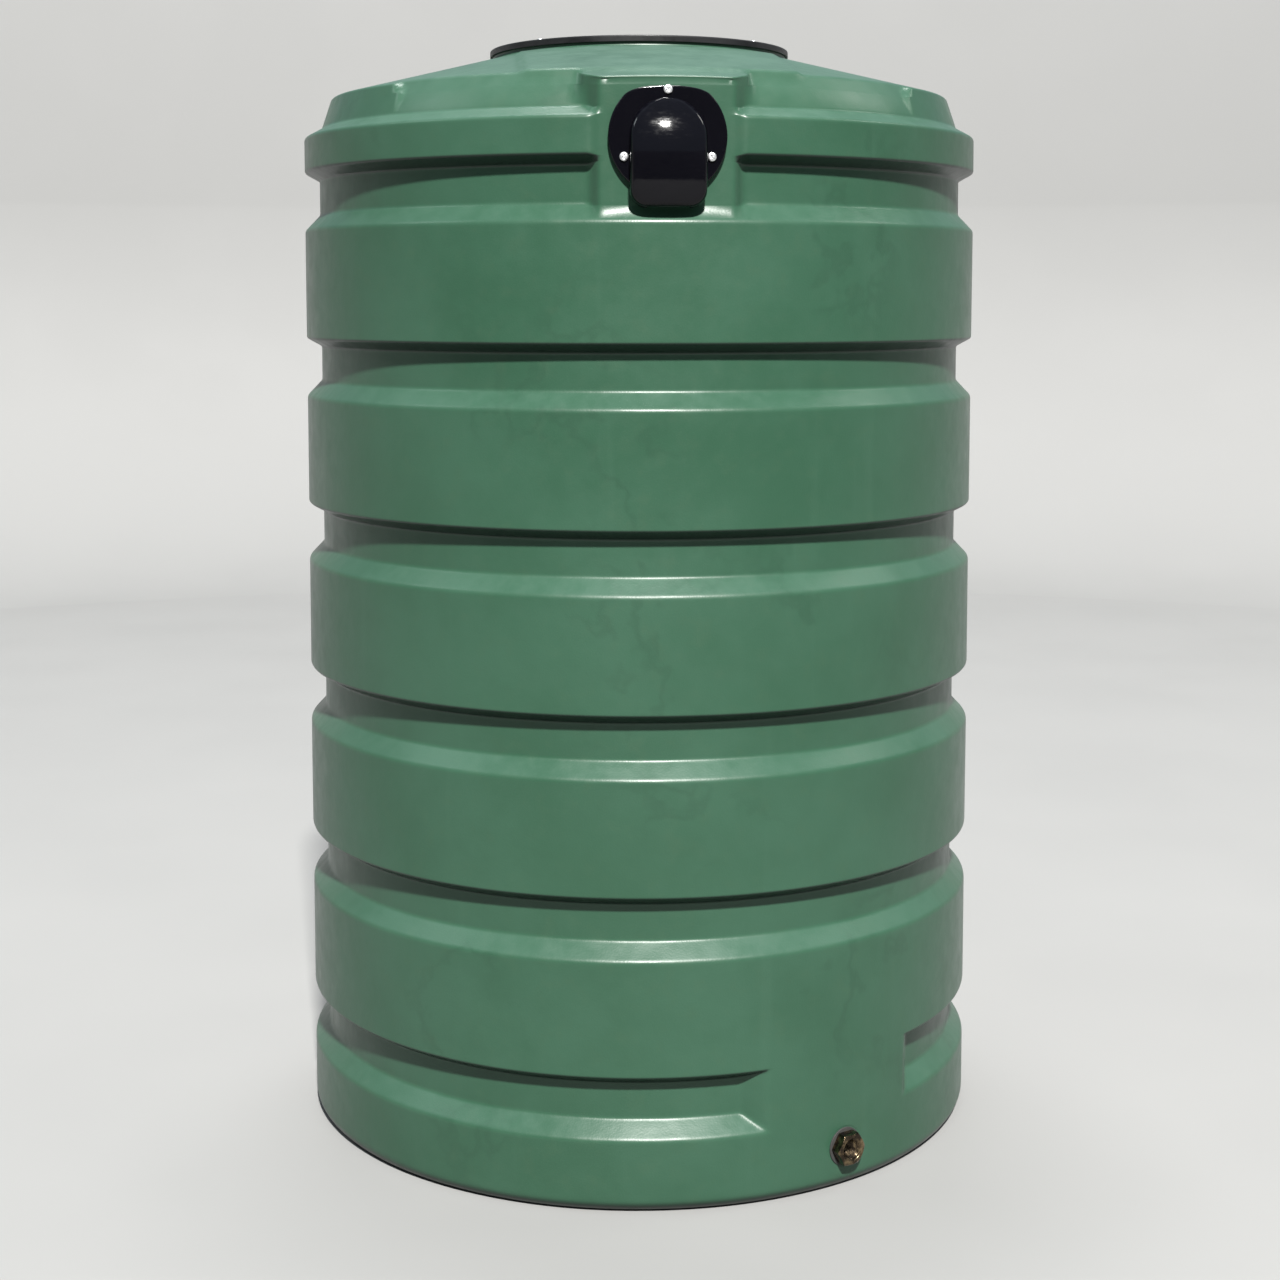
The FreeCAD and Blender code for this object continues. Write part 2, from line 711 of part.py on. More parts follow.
def make_overflow_screws(face):
    """Three pan-head screws through flange, gasket and pad."""
    parts = []
    for number, (across, up) in enumerate(overflow_screw_places()):
        parts.append(front_drill(f"overflow_shank_{number}", across, up, "screw_shank",
                                 f"{face} - screw_length", face))
        parts.append(front_drill(f"overflow_head_{number}", across, up, "screw_head", face,
                                 f"{face} + screw_head_thick"))
    keep(fuse("overflow_screws", parts), "overflow_screws")


# Outlet

def make_outlet():
    """The brass bush with its hexagon outside, a washer under it and a nut inside the wall."""
    face = "band_radius - outlet_seat_depth"
    hex_face = f"{face} + outlet_washer_thick"
    back = f"{face} - wall"
    shank_end = f"{back} - outlet_nut_thick - outlet_shank_spare"

    washer = body_on("outlet_washer_body")
    ring = body_sketch(washer, "outlet_washer_ring", "XZ_Plane", face)
    draw_circle(ring, "0", "outlet_height", "outlet_washer_radius")
    draw_circle(ring, "0", "outlet_height", "outlet_shank_radius + play")
    pad(washer, ring, "outlet_washer_thick")
    keep(turn(washer, "360 / segments"), "outlet_washer")

    bush = body_on("outlet_bush_body")
    collar = front_hexagon(body_sketch(bush, "outlet_collar", "XZ_Plane", hex_face), "outlet_height",
                           "outlet_hex_flat")
    pad(bush, collar, "outlet_hex_thick")
    shank = body_sketch(bush, "outlet_shank", "XZ_Plane", hex_face)
    draw_circle(shank, "0", "outlet_height", "outlet_shank_radius")
    stem = pad(bush, shank, f"{hex_face} - ({shank_end})")
    stem.Reversed = True
    bore = body_sketch(bush, "outlet_bore", "XZ_Plane", f"{hex_face} + outlet_hex_thick")
    draw_circle(bore, "0", "outlet_height", "outlet_thread_radius")
    pocket(bush, bore, f"{hex_face} + outlet_hex_thick - ({shank_end})")
    keep(turn(bush, "360 / segments"), "outlet_bush")

    nut = body_on("outlet_nut_body")
    hexagon = body_sketch(nut, "outlet_nut_hexagon", "XZ_Plane", back)
    front_hexagon(hexagon, "outlet_height", "outlet_nut_flat")
    draw_circle(hexagon, "0", "outlet_height", "outlet_shank_radius + play")
    pad(nut, hexagon, "outlet_nut_thick").Reversed = True
    keep(turn(nut, "360 / segments"), "outlet_nut")


# Checks and files

def check_document():
    """Stop with a plain message where an object failed or a sub-part isn't a sound shape."""
    doc.recompute()
    for item in doc.Objects:
        if "Invalid" in item.State or "Error" in item.State:
            raise RuntimeError(f"{item.Label} failed: {item.State}")
    for node in nodes:
        if node.Shape.isNull() or not node.Shape.isValid():
            raise RuntimeError(f"{node.Label} has no sound shape")


def write_nodes():
    """Write each sub-part to its own file."""
    os.makedirs("parts", exist_ok=True)
    for node in nodes:
        node.Shape.exportStep(f"parts/{node.Label}.step")
        box = node.Shape.BoundBox
        print(f"{node.Label}: {len(node.Shape.Solids)} solid(s), {node.Shape.Volume / 1000:.1f} cm3, "
              f"x {box.XMin:.1f} {box.XMax:.1f}, y {box.YMin:.1f} {box.YMax:.1f}, "
              f"z {box.ZMin:.1f} {box.ZMax:.1f}")


fill_sheet()
make_floor()
make_overflow_segment()
make_outlet_segment()
make_plain_segments()
make_roof()
make_strainer()
make_overflow()
make_outlet()
check_document()
write_nodes()
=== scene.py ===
# %% [markdown]
# # A round rainwater tank of moulded plastic
# The tank is one hollow moulding: a grooved wall, a low conical roof and a flat floor. It carries a
# black strainer in the roof, a black overflow hood on a flat pad, and a brass outlet near the ground.
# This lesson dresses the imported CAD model, which is loaded first and stays where it is.

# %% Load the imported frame
import math

import bpy
import numpy as np
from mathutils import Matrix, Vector


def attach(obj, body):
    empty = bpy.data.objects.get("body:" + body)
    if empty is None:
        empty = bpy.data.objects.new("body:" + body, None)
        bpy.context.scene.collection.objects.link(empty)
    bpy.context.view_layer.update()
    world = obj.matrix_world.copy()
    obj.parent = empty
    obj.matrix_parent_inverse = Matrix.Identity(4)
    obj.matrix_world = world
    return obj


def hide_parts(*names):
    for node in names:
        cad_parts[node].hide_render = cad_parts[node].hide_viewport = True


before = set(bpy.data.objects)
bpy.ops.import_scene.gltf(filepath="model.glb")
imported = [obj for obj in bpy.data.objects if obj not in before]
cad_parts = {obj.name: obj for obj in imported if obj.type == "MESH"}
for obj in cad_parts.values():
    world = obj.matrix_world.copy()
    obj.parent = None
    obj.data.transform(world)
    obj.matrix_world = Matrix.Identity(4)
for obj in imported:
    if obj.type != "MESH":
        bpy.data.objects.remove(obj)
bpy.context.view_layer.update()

MM = 0.001

# %% [markdown]
# ## The camera
# The photograph is taken from eye height, so the grooves bend more the lower they sit. A camera fitted
# to the grooves stands 2.88 m from the tank's axis. A small shift, as on a view camera, keeps the wall
# nearly upright while the tank stays in the middle of the frame. The other way is to tilt the whole
# camera, which makes the tank look narrower at its foot.

# %% Camera
def put_in_scene(name, data):
    """An object of this data at the origin, linked to the scene."""
    item = bpy.data.objects.new(name, data)
    bpy.context.scene.collection.objects.link(item)
    return item


def make_camera():
    """Place the camera on a circle round the axis, a few degrees left of the overflow."""
    distance, height, side, tilt = 2.877, 1.110, math.radians(-4.3), math.radians(-4.87)
    data = bpy.data.cameras.new("view")
    data.lens, data.sensor_width = 58.0, 36.0
    data.shift_x, data.shift_y = 0.0008, -0.13
    camera = put_in_scene("view", data)
    camera.location = (distance * math.sin(side), -distance * math.cos(side), height)
    camera.rotation_euler = (math.pi / 2 + tilt, 0, side)
    bpy.context.scene.camera = camera
    print("camera at", [round(v, 3) for v in camera.location])


make_camera()

# %% [markdown]
# ## Surfaces from arrays
# Every new piece is a grid of points, worked out as whole arrays. One helper turns a grid into a mesh.
# It closes the grid round its columns, closes the rows too where the section is a ring, and turns the
# faces outwards by the sign of the enclosed volume.

# %% Grid to mesh
def grid_faces(rows, columns, ring):
    """Corner numbers of the quads between neighbouring rows and columns; columns always close."""
    row = np.arange(rows if ring else rows - 1)[:, None]
    column = np.arange(columns)[None, :]
    following = (column + 1) % columns
    here, above = row * columns, (row + 1) % rows * columns
    corners = [here + column, here + following, above + following, above + column]
    return np.stack(corners, axis=-1).reshape(-1, 4)


def outward(points, faces):
    """Faces turned so that the sum of their signed tetrahedra is positive."""
    a, b, c, d = (points[faces[:, k]] for k in range(4))
    volume = (a * np.cross(b, c)).sum() + (a * np.cross(c, d)).sum()
    return faces if volume > 0 else faces[:, ::-1]


def solid(grid, ring=False):
    """Points in metres and faces of a grid in millimetres; where it is no ring, fans close its ends."""
    rows, columns = grid.shape[:2]
    points, faces = grid.reshape(-1, 3) * MM, grid_faces(rows, columns, ring)
    if not ring:
        points = np.vstack([points, grid[0].mean(0) * MM, grid[-1].mean(0) * MM])
        edge = np.arange(columns)
        following = (edge + 1) % columns
        low, high = 0 * edge + len(points) - 2, 0 * edge + len(points) - 1
        last = (rows - 1) * columns
        first_fan = np.stack([following, edge, low, low], axis=-1)
        last_fan = np.stack([last + edge, last + following, high, high], axis=-1)
        faces = np.vstack([faces, first_fan, last_fan])
    return points, outward(points, faces)


def place_mesh(name, points, faces, sharp=40):
    """A smooth mesh object at the origin; edges sharper than the angle stay crisp."""
    mesh = bpy.data.meshes.new(name)
    mesh.from_pydata(points.tolist(), [], [list(dict.fromkeys(face)) for face in faces.tolist()])
    mesh.validate()
    mesh.polygons.foreach_set("use_smooth", np.ones(len(mesh.polygons), bool))
    mesh.set_sharp_from_angle(angle=math.radians(sharp))
    print(name, len(mesh.vertices), "points", len(mesh.polygons), "faces")
    return put_in_scene(name, mesh)


def build(name, *solids, sharp=40):
    """One piece of the tank from closed solids, tied to its CAD body."""
    points = np.vstack([part[0] for part in solids])
    starts = np.cumsum([0] + [len(part[0]) for part in solids[:-1]])
    faces = np.vstack([part[1] + start for part, start in zip(solids, starts)])
    piece = place_mesh(name, points, faces, sharp)
    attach(piece, "root")
    return piece


# %% [markdown]
# ## Rounded outlines
# A turned piece starts as an outline of straight runs, drawn as distance from the axis and height.
# Real mouldings have no knife edges, so each corner gets an arc. The Bevel modifier could round the
# finished mesh, but an arc in the outline costs fewer faces and its radius is exact. A point close
# beside each arc keeps the shading of the flat faces flat.

# %% Outline tools
def arc_points(before, corner, after, radius, step):
    """Points of the arc that touches both runs; it starts radius times tan(turn / 2) before the corner."""
    first, second = corner - before, after - corner
    first, second = first / np.linalg.norm(first), second / np.linalg.norm(second)
    turn = math.atan2(first[0] * second[1] - first[1] * second[0], first @ second)
    reach = radius * math.tan(abs(turn) / 2)
    count = max(2, math.ceil(abs(turn) / step))
    start = corner - first * reach
    side = np.array([-first[1], first[0]]) * math.copysign(1, turn)
    angle = np.linspace(0, abs(turn), count + 1)[:, None]
    return start + radius * (np.sin(angle) * first + (1 - np.cos(angle)) * side)


def divided(start, end, guard, longest):
    """Points strictly inside a run: one guard point near each end, and even steps between."""
    length = np.linalg.norm(end - start)
    if length < 3 * guard:
        return np.empty((0, 2))
    count = max(1, math.ceil((length - 2 * guard) / longest))
    along = np.linspace(guard, length - guard, count + 1)[:, None] / length
    return start + (end - start) * along


def rounded(corners, closed=False, guard=2.0, longest=1e9, step=math.radians(11)):
    """Outline from (distance, height, radius) corners, with arcs, guard points and long runs divided."""
    corners = np.array(corners, float)
    spots, radii, count = corners[:, :2], corners[:, 2], len(corners)
    runs = []
    for k in range(count):
        open_end = not closed and k in (0, count - 1)
        if radii[k] > 0 and not open_end:
            runs.append(arc_points(spots[k - 1], spots[k], spots[(k + 1) % count], radii[k], step))
        else:
            runs.append(spots[k:k + 1])
    line = []
    for k, run in enumerate(runs):
        line.append(run)
        if closed or k < count - 1:
            line.append(divided(run[-1], runs[(k + 1) % count][0], guard, longest))
    return np.vstack(line)


def on_turn(distance, angle, height):
    """Points on a turn: x is distance times sine and y minus distance times cosine, so 0 is in front."""
    return np.stack([distance * np.sin(angle), -distance * np.cos(angle), height + 0 * angle], axis=-1)


def lathe(outline, angles):
    """Grid of an outline turned round the axis: a row for each point, a column for each angle."""
    return on_turn(outline[:, :1], angles, outline[:, 1:])


def around(count):
    """Even angles of a full turn."""
    return np.linspace(0, 2 * np.pi, count, endpoint=False)


# %% [markdown]
# ## The tank's outline
# Six grooves repeat up the wall. Under each band the wall turns in steeply, runs straight, and comes
# out again over a longer shoulder. Above the top band a leaning fascia carries the roof. The groove's
# measures count down from the band's lower edge. The same corner list, moved in by the wall's
# thickness, gives the inside.

# %% Outside corners of wall and roof
BAND, GROOVE, WALL = 457.0, 437.0, 6.5
PITCH, FIRST_EDGE, GROOVES = 221.7, 169.2, 6
GROOVE_FOOT, FLAT_FOOT, FLAT_HEAD = 78, 57, 11
TOP_EDGE = FIRST_EDGE + (GROOVES - 1) * PITCH
FASCIA_FOOT, FASCIA_LOW, FASCIA_RISE = 434.0, TOP_EDGE + 57.0, 40.0
EAVE, EAVE_LEVEL, SLOPE = 420.4, FASCIA_LOW + FASCIA_RISE, math.tan(math.radians(14.4))
NECK = 201.0
NECK_FOOT = EAVE_LEVEL + (EAVE - NECK) * SLOPE
NECK_TOP = NECK_FOOT + 10.3
FOOT_SPLIT, SEAM = 22.0, 0.68
ROOF_SEAM = (FASCIA_FOOT + (EAVE - FASCIA_FOOT) * SEAM, FASCIA_LOW + FASCIA_RISE * SEAM, 0)


def wall_corners():
    """Corners of the outside from the foot to the middle of the fascia, with each corner's radius."""
    corners = [(BAND, FOOT_SPLIT, 0)]
    for k in range(GROOVES):
        edge = FIRST_EDGE + k * PITCH
        corners += [(BAND, edge - GROOVE_FOOT, 9), (GROOVE, edge - FLAT_FOOT, 7),
                    (GROOVE, edge - FLAT_HEAD, 5), (BAND, edge, 5)]
    return corners + [(BAND, TOP_EDGE + 44.5, 6), (FASCIA_FOOT, FASCIA_LOW, 6), ROOF_SEAM]


def inset(corners):
    """Corners moved in by WALL: each run shifts along its normal and neighbours meet again."""
    spots = np.array(corners, float)[:, :2]
    runs = np.diff(spots, axis=0)
    runs /= np.linalg.norm(runs, axis=1)[:, None]
    inward = np.stack([-runs[:, 1], runs[:, 0]], axis=1)
    first, second = np.vstack([inward[:1], inward]), np.vstack([inward, inward[-1:]])
    mitre = (first + second) / (1 + np.einsum("ij,ij->i", first, second))[:, None]
    moved = spots + WALL * mitre
    turn = np.einsum("ij,ij->i", np.stack([-first[:, 1], first[:, 0]], 1), second)
    radius = np.array([c[2] for c in corners])
    radius = np.where(radius > 0, np.maximum(radius - np.sign(turn) * WALL, 1.5), 0)
    return [(x, z, r) for (x, z), r in zip(moved, radius)]


print("eave", round(EAVE_LEVEL, 1), "neck", round(NECK_FOOT, 1), round(NECK_TOP, 1))

# %% [markdown]
# ## Pad and filled groove
# The wall isn't a plain turned shape. Under the eave it is pressed flat for the overflow, and round
# the outlet the lowest groove is filled, with a ramp at each end. Both could be cut with Boolean
# modifiers. Here they are part of the surface: for each direction the distance from the axis is held
# between two limits that describe the pad, and it is nowhere less than the filling's distance. The
# outside is sunk by half a millimetre, so that its unevenness stays inside the CAD model's box.

# %% Moulded changes of the distance from the axis
SINK = 0.5
PAD, PAD_HALF, OUT_FLARE, IN_FLARE = 443.0, 80.0, 0.7, 2.2
OUTLET_TURN, RAMP_TOP, RAMP_FOOT = math.radians(30), math.radians(13.9), math.radians(17.8)


def soft_least(a, b, width):
    """Smaller of two values; where they differ by less than width the corner is rounded off."""
    width = np.maximum(width, 1e-6)
    share = np.clip(0.5 + 0.5 * (b - a) / width, 0, 1)
    return b + (a - b) * share - width * share * (1 - share)


def soft_most(a, b, width):
    """Larger of two values, rounded in the same way."""
    return -soft_least(-a, -b, width)


def smooth_step(low, high, value):
    """0 below low, 1 above high, and 3t^2 - 2t^3 between."""
    t = np.clip((value - low) / (high - low), 0, 1)
    return t * t * (3 - 2 * t)


def pad_limits(angle, back):
    """Least and most distance from the axis, for a flat face at Y = -PAD whose sides slope away."""
    near = np.abs(angle) < math.radians(30)
    a = np.where(near, angle, 0)
    across, along = np.abs(np.sin(a)), np.cos(a)
    face = PAD - back
    narrow = PAD_HALF - back * (math.hypot(1, OUT_FLARE) - OUT_FLARE)
    wide = PAD_HALF + back * (math.hypot(1, IN_FLARE) - IN_FLARE)
    least = soft_least(face / along, (face + narrow / OUT_FLARE) / (along + across / OUT_FLARE), 4)
    most = soft_most(face / along, (face - wide / IN_FLARE) / (along - across / IN_FLARE), 3)
    return np.where(near, least, 0), np.where(near, most, 9999)


def moulded(radius, height, angle, back):
    """Distance from the axis with the pad and the filled groove worked in."""
    full = BAND - back
    down_ramp = (np.abs(angle - OUTLET_TURN) - RAMP_TOP) / (RAMP_FOOT - RAMP_TOP)
    filling = soft_least(full - (BAND - GROOVE) * down_ramp, full, 3.0)
    filled = soft_most(radius, filling, np.clip(full - radius, 0, 3))
    radius = np.where(height < FIRST_EDGE + 20, np.minimum(filled, full), radius)
    least, most = pad_limits(angle, back)
    within = np.clip(most - least, 0, 4)
    at_pad = height > TOP_EDGE - FLAT_FOOT
    capped = np.where(at_pad, soft_least(radius, most, 3), radius)
    width = np.where(at_pad, within, 4)
    return np.where(height > TOP_EDGE - 2 * FLAT_FOOT, soft_most(capped, least, width), capped)


def sway(angle, height, back):
    """Three crossing sine waves of a few tenths of a millimetre, and the sinking of the outside."""
    waves = np.sin(3 * angle + height / 160) + 0.7 * np.sin(7 * angle - height / 95 + 1.3)
    return (0 if back else SINK) + 0.16 * (waves + 0.6 * np.sin(13 * angle + height / 52 + 2.1))


# %% [markdown]
# ## The slope in front
# In front the eave's corner is taken off to a slope, which ends in an upright cheek on either side of
# the overflow. In the outline the slope is a straight line: wherever the wall stands out beyond it,
# the wall is drawn back to it.

# %% Slope and eave
CHEEK, CHEEK_LEAN, CHEEK_FOOT, CHEEK_RISE = math.radians(46.0), math.radians(4.3), 1346.0, 28.0
CUT, CUT_LEVEL, CUT_FALL, CUT_FOOT = 431.0, 1345.0, 0.7715, 1336.0


def front_slope(distance, height, angle, reach, back):
    """Distance cut off to a line that falls with height, between the cheeks and outside the pad."""
    line = CUT - math.hypot(1, CUT_FALL) * back - CUT_FALL * (height - CUT_LEVEL)
    side = CHEEK + CHEEK_LEAN * np.clip((height - CHEEK_FOOT) / CHEEK_RISE, -0.3, 1.2)
    share = 1 - smooth_step(-0.009, 0.009, np.abs(angle) - side)
    share = share * (1 - smooth_step(0.0, 9.0, reach - EAVE + back))
    share = share * smooth_step(CUT_FOOT, CUT_FOOT + 4, height) * (distance > NECK + 40)
    return distance + share * (soft_least(distance, line, 4.0) - distance)


def eave_place(angle, back):
    """Distance and height of the eave, which runs down along the roof where the pad lifts it out."""
    least, _ = pad_limits(angle, back)
    reach = soft_most(EAVE - back + 0 * angle, least, 6)
    return reach, EAVE_LEVEL - (reach - EAVE + back) * SLOPE


def under_eave(radius, height, angle, back):
    """Shift the fascia so that it ends at the eave, in step with its height."""
    share = np.clip((height - FASCIA_LOW) / FASCIA_RISE, 0, 1)
    reach, level = eave_place(angle, back)
    distance, height = radius + share * (reach - EAVE + back), height + share * (level - EAVE_LEVEL)
    return front_slope(distance, height, angle, reach, back), height


# %% [markdown]
# ## Where the columns stand
# An even grid would need a column every third of a degree to draw the pad's sides, the ramps and the
# cheeks cleanly. Here the columns stand close only there. Their spacing grows gently away from those
# places, because a sudden change shows as a streak in the reflections.

# %% Directions of the columns
def columns_near(spots, fine, coarse):
    """Angles of a full turn: steps grow gently from fine beside each spot to coarse away from it."""
    marks = [-180.0]
    while marks[-1] < 180.0:
        nearest = min(abs(marks[-1] - spot) for spot in spots)
        marks.append(marks[-1] + min(coarse, fine + 0.25 * nearest))
    marks = np.array(marks) + 180.0
    return np.radians(marks[:-1] * 360.0 / marks[-1] - 180.0)


SIDES = [10.3, 11.8, 13.3, 46.0, 47.5, 49.0, 50.5]
MIRRORED = SIDES + [-side for side in SIDES]
RAMPS = [12.2, 14.1, 16.1, 43.9, 45.9, 47.8]
WALL_ANGLES = columns_near(MIRRORED + RAMPS, 0.35, 2.0)
print("wall columns", len(WALL_ANGLES))

# %% [markdown]
# ## The three parts of the shell
# The CAD model splits the moulding into floor, wall and roof. The dressed pieces keep these splits in
# the middle of straight runs, where both sides have the same slope, so no seam shows. Each is a
# closed solid: the outside, the inside, and the two narrow faces where it meets its neighbour.

# %% Wall
def with_rows(line, low, high, most):
    """The outline, with points added between two heights so that no run there is longer than most."""
    parts = [line[:1]]
    for start, end in zip(line[:-1], line[1:]):
        inside = low < (start[1] + end[1]) / 2 < high
        count = math.ceil(np.linalg.norm(end - start) / most) if inside else 1
        parts.append(start + (end - start) * np.linspace(0, 1, count + 1)[1:, None])
    return np.vstack(parts)


def wall_side(corners, back, longest, step):
    """Grid of one side of the wall, with closer rows round the filled groove."""
    line = rounded(corners, longest=longest, step=step)
    line = with_rows(line, FIRST_EDGE - GROOVE_FOOT - 6, FIRST_EDGE + 6, 25 if back else 4.5)
    radius, height, angle = line[:, :1], line[:, 1:], WALL_ANGLES[None, :]
    radius, height = under_eave(radius, height, angle, back)
    distance = moulded(radius, height, angle, back) - sway(angle, height, back)
    return on_turn(distance, angle, height)


def make_wall():
    """Outside from foot to seam, then the inside back down, as one ring section."""
    outside = wall_side(wall_corners(), 0.0, 34, math.radians(12))
    inside = wall_side(inset(wall_corners()), WALL, 200, math.radians(50))
    print("wall rows", len(outside), len(inside))
    return build("wall_shell", solid(np.concatenate([outside, inside[::-1]]), ring=True))


wall_shell = make_wall()

# %% [markdown]
# ## The floor
# The floor closes the moulding below, with the rounded foot. It uses the wall's columns, so both meet
# point for point, and the wall's unevenness fades towards its middle.

# %% Floor
def floor_side(corners, back):
    """Grid of one side of the floor: distances less the unevenness, which eases in from the middle."""
    outline, angle = rounded(corners, longest=60), WALL_ANGLES[None, :]
    radius, height = outline[:, :1], outline[:, 1:]
    ease = smooth_step(0, 400, radius)
    return on_turn(radius - ease * sway(angle, height, back), angle, height)


def make_floor():
    """The floor's underside, its rounded foot, the joint with the wall and the inside."""
    under = floor_side([(0.5, 0, 0), (BAND, 0, 18), (BAND, FOOT_SPLIT, 0)], 0)
    inner = floor_side([(BAND - WALL, FOOT_SPLIT, 0), (BAND - WALL, WALL, 12), (0.5, WALL, 0)], WALL)
    return build("floor_shell", solid(np.concatenate([under, inner])))


floor_shell = make_floor()

# %% [markdown]
# ## The roof
# The roof is a low cone with a neck for the strainer. In front, a plain panel with straight sides
# stands a few millimetres proud of the cone. The roof also takes the top of the fascia, so its
# rounded eave is one surface.

# %% Roof
ROOF_ANGLES = columns_near(MIRRORED, 0.35, 0.9)
PANEL_HALF, PANEL_RISE = 168.0, 3.5


def roof_corners():
    """Outside corners from the seam on the fascia over the eave to the neck's rim."""
    return [ROOF_SEAM, (EAVE, EAVE_LEVEL, 5), (NECK, NECK_FOOT, 5), (NECK, NECK_TOP, 0)]


def panel_lift(distance, angle):
    """Rise of the front panel: full between its sides, in front of the neck, and none at the eave."""
    across, along = distance * np.sin(angle), distance * np.cos(angle)
    side = 1 - smooth_step(PANEL_HALF - 4, PANEL_HALF + 4, np.abs(across))
    front = smooth_step(20, 40, along)
    outer = 1 - smooth_step(EAVE - 16, EAVE - 6, distance)
    inner = smooth_step(NECK + 8, NECK + 16, distance)
    return PANEL_RISE * side * front * outer * inner


def roof_side(corners, back, longest):
    """Grid of one side of the roof: the cone is stretched so that it starts at the eave."""
    line = rounded(corners, longest=longest)
    radius, height, angle = line[:, :1], line[:, 1:], ROOF_ANGLES[None, :]
    reach, level = eave_place(angle, back)
    edge = EAVE - back
    on_fascia = (height - FASCIA_LOW) / FASCIA_RISE
    on_cone = (radius - NECK) / (edge - NECK)
    share = np.clip(np.minimum(on_fascia, on_cone), 0, 1)
    share = np.where(radius > NECK, share, 0)
    least, _ = pad_limits(angle, back)
    distance = radius + share * (reach - edge)
    distance = np.where(height < EAVE_LEVEL - 7, np.maximum(distance, least), distance)
    height = height + share * (level - EAVE_LEVEL)
    distance = front_slope(distance, height, angle, reach, back)
    lift = 0 if back else panel_lift(distance, angle)
    uneven = sway(angle, height, back) * smooth_step(NECK, NECK + 60, radius)
    return on_turn(distance - uneven, angle, height + lift)


def make_roof():
    """Outside from seam to rim, then the inside back, as one ring section."""
    outside = roof_side(roof_corners(), 0.0, 9)
    inside = roof_side(inset(roof_corners()), WALL, 30)
    inside[-1] = lathe(np.array([[NECK - WALL, NECK_TOP]]), ROOF_ANGLES)[0]
    return build("roof_shell", solid(np.concatenate([outside, inside[::-1]]), ring=True))


roof_shell = make_roof()

# %% [markdown]
# ## Holes for the overflow and the outlet
# The wall is bored through for the overflow, and spot faced where the outlet's washer sits. A Boolean
# with a plain rod is exact and leaves the rest of the wall's grid alone.

# %% Bore the wall
OVERFLOW_LEVEL, OVERFLOW_BORE, FLANGE_BACK, FLANGE_FACE = 1297.5, 44.0, 446.0, 451.0
OUTLET_LEVEL, OUTLET_BORE, SPOT_RADIUS = 53.0, 16.8, 26.0
SHANK_END, SPOT_FACE, WASHER_FACE, HEXAGON_FACE = 437.4, 455.9, 457.9, 471.9


def facing(grid, turn, level):
    """Stand a grid so that its own z points level, outwards from the tank's axis, and its y up."""
    out = np.array([math.sin(turn), -math.cos(turn), 0.0])
    side = np.array([math.cos(turn), math.sin(turn), 0.0])
    up = np.array([0.0, 0.0, 1.0])
    return grid[..., :1] * side + grid[..., 1:2] * up + grid[..., 2:] * out + up * level


def carve(piece, cutter):
    """Take a cutter out of a piece, and remove the cutter."""
    cut = piece.modifiers.new("cut", "BOOLEAN")
    cut.operation, cut.solver, cut.object = "DIFFERENCE", "EXACT", cutter
    bpy.context.view_layer.update()
    evaluated = piece.evaluated_get(bpy.context.evaluated_depsgraph_get())
    mesh = bpy.data.meshes.new_from_object(evaluated)
    piece.modifiers.clear()
    piece.data = mesh
    bpy.data.objects.remove(cutter)
    return piece


def bore(piece, turn, level, radius, start, end):
    """Cut a round hole between two distances from the tank's axis."""
    rod = lathe(np.array([[radius, start], [radius, end]]), around(96))
    cutter = build("rod", solid(facing(rod, turn, level)))
    carve(piece, cutter)


bore(wall_shell, 0.0, OVERFLOW_LEVEL, OVERFLOW_BORE, 400, 470)
bore(wall_shell, OUTLET_TURN, OUTLET_LEVEL, SPOT_RADIUS, SPOT_FACE, 480)
bore(wall_shell, OUTLET_TURN, OUTLET_LEVEL, OUTLET_BORE, 420, 480)
wall_shell.data.set_sharp_from_angle(angle=math.radians(40))
print("bored wall", len(wall_shell.data.polygons), "faces")

# %% [markdown]
# ## The strainer
# A basket with a turned-over rim drops into the neck and is held by four small screws. Both the
# basket and its cloth of mesh are turned: the corners run once round the section of the wall.

# %% Basket and mesh
RIM_TOP, BASKET_FOOT = NECK_TOP + 4, NECK_TOP - 55


def turned(name, corners, count=180, guard=1.2):
    """A closed section turned round the tank's axis."""
    outline = rounded(corners, closed=True, guard=guard)
    return build(name, solid(lathe(outline, around(count)), ring=True))


strainer_rim = turned("strainer_rim", [
    (204.3, RIM_TOP, 1.8), (204.3, NECK_TOP - 4.5, 0.7), (201.3, NECK_TOP - 4.5, 0.5),
    (201.3, NECK_TOP, 0.4), (192.5, NECK_TOP, 0.8), (186.5, BASKET_FOOT, 1.2), (172.5, BASKET_FOOT, 0.8),
    (172.5, BASKET_FOOT + 3, 0.8), (183.5, BASKET_FOOT + 3, 0.6), (189.5, RIM_TOP, 1.4)])
strainer_cloth = turned("strainer_cloth", [
    (183.2, BASKET_FOOT + 3, 0.2), (183.2, BASKET_FOOT + 3.8, 0.2), (0.4, BASKET_FOOT + 3.8, 0),
    (0.4, BASKET_FOOT + 3, 0)], count=96, guard=0.2)

# %% [markdown]
# ## The strainer's grid
# A moulded grid under the mesh carries it: a hub, a ring and eight spokes. Sixteen rounded windows cut
# out of a plain disc leave exactly these, with small fillets in the corners.

# %% Grid
SPOKE_HALF, SPOKES, GRID_THICK = 3.5, 8, 3
HUB, RING_INNER, RING_OUTER, GRID_EDGE = 22.0, 91.5, 98.5, 164.0


def turned_by(points, angle):
    """Points turned about z: x cos a - y sin a, and x sin a + y cos a."""
    cosine, sine, x, y = math.cos(angle), math.sin(angle), points[..., 0], points[..., 1]
    result = points.copy()
    result[..., 0], result[..., 1] = cosine * x - sine * y, sine * x + cosine * y
    return result


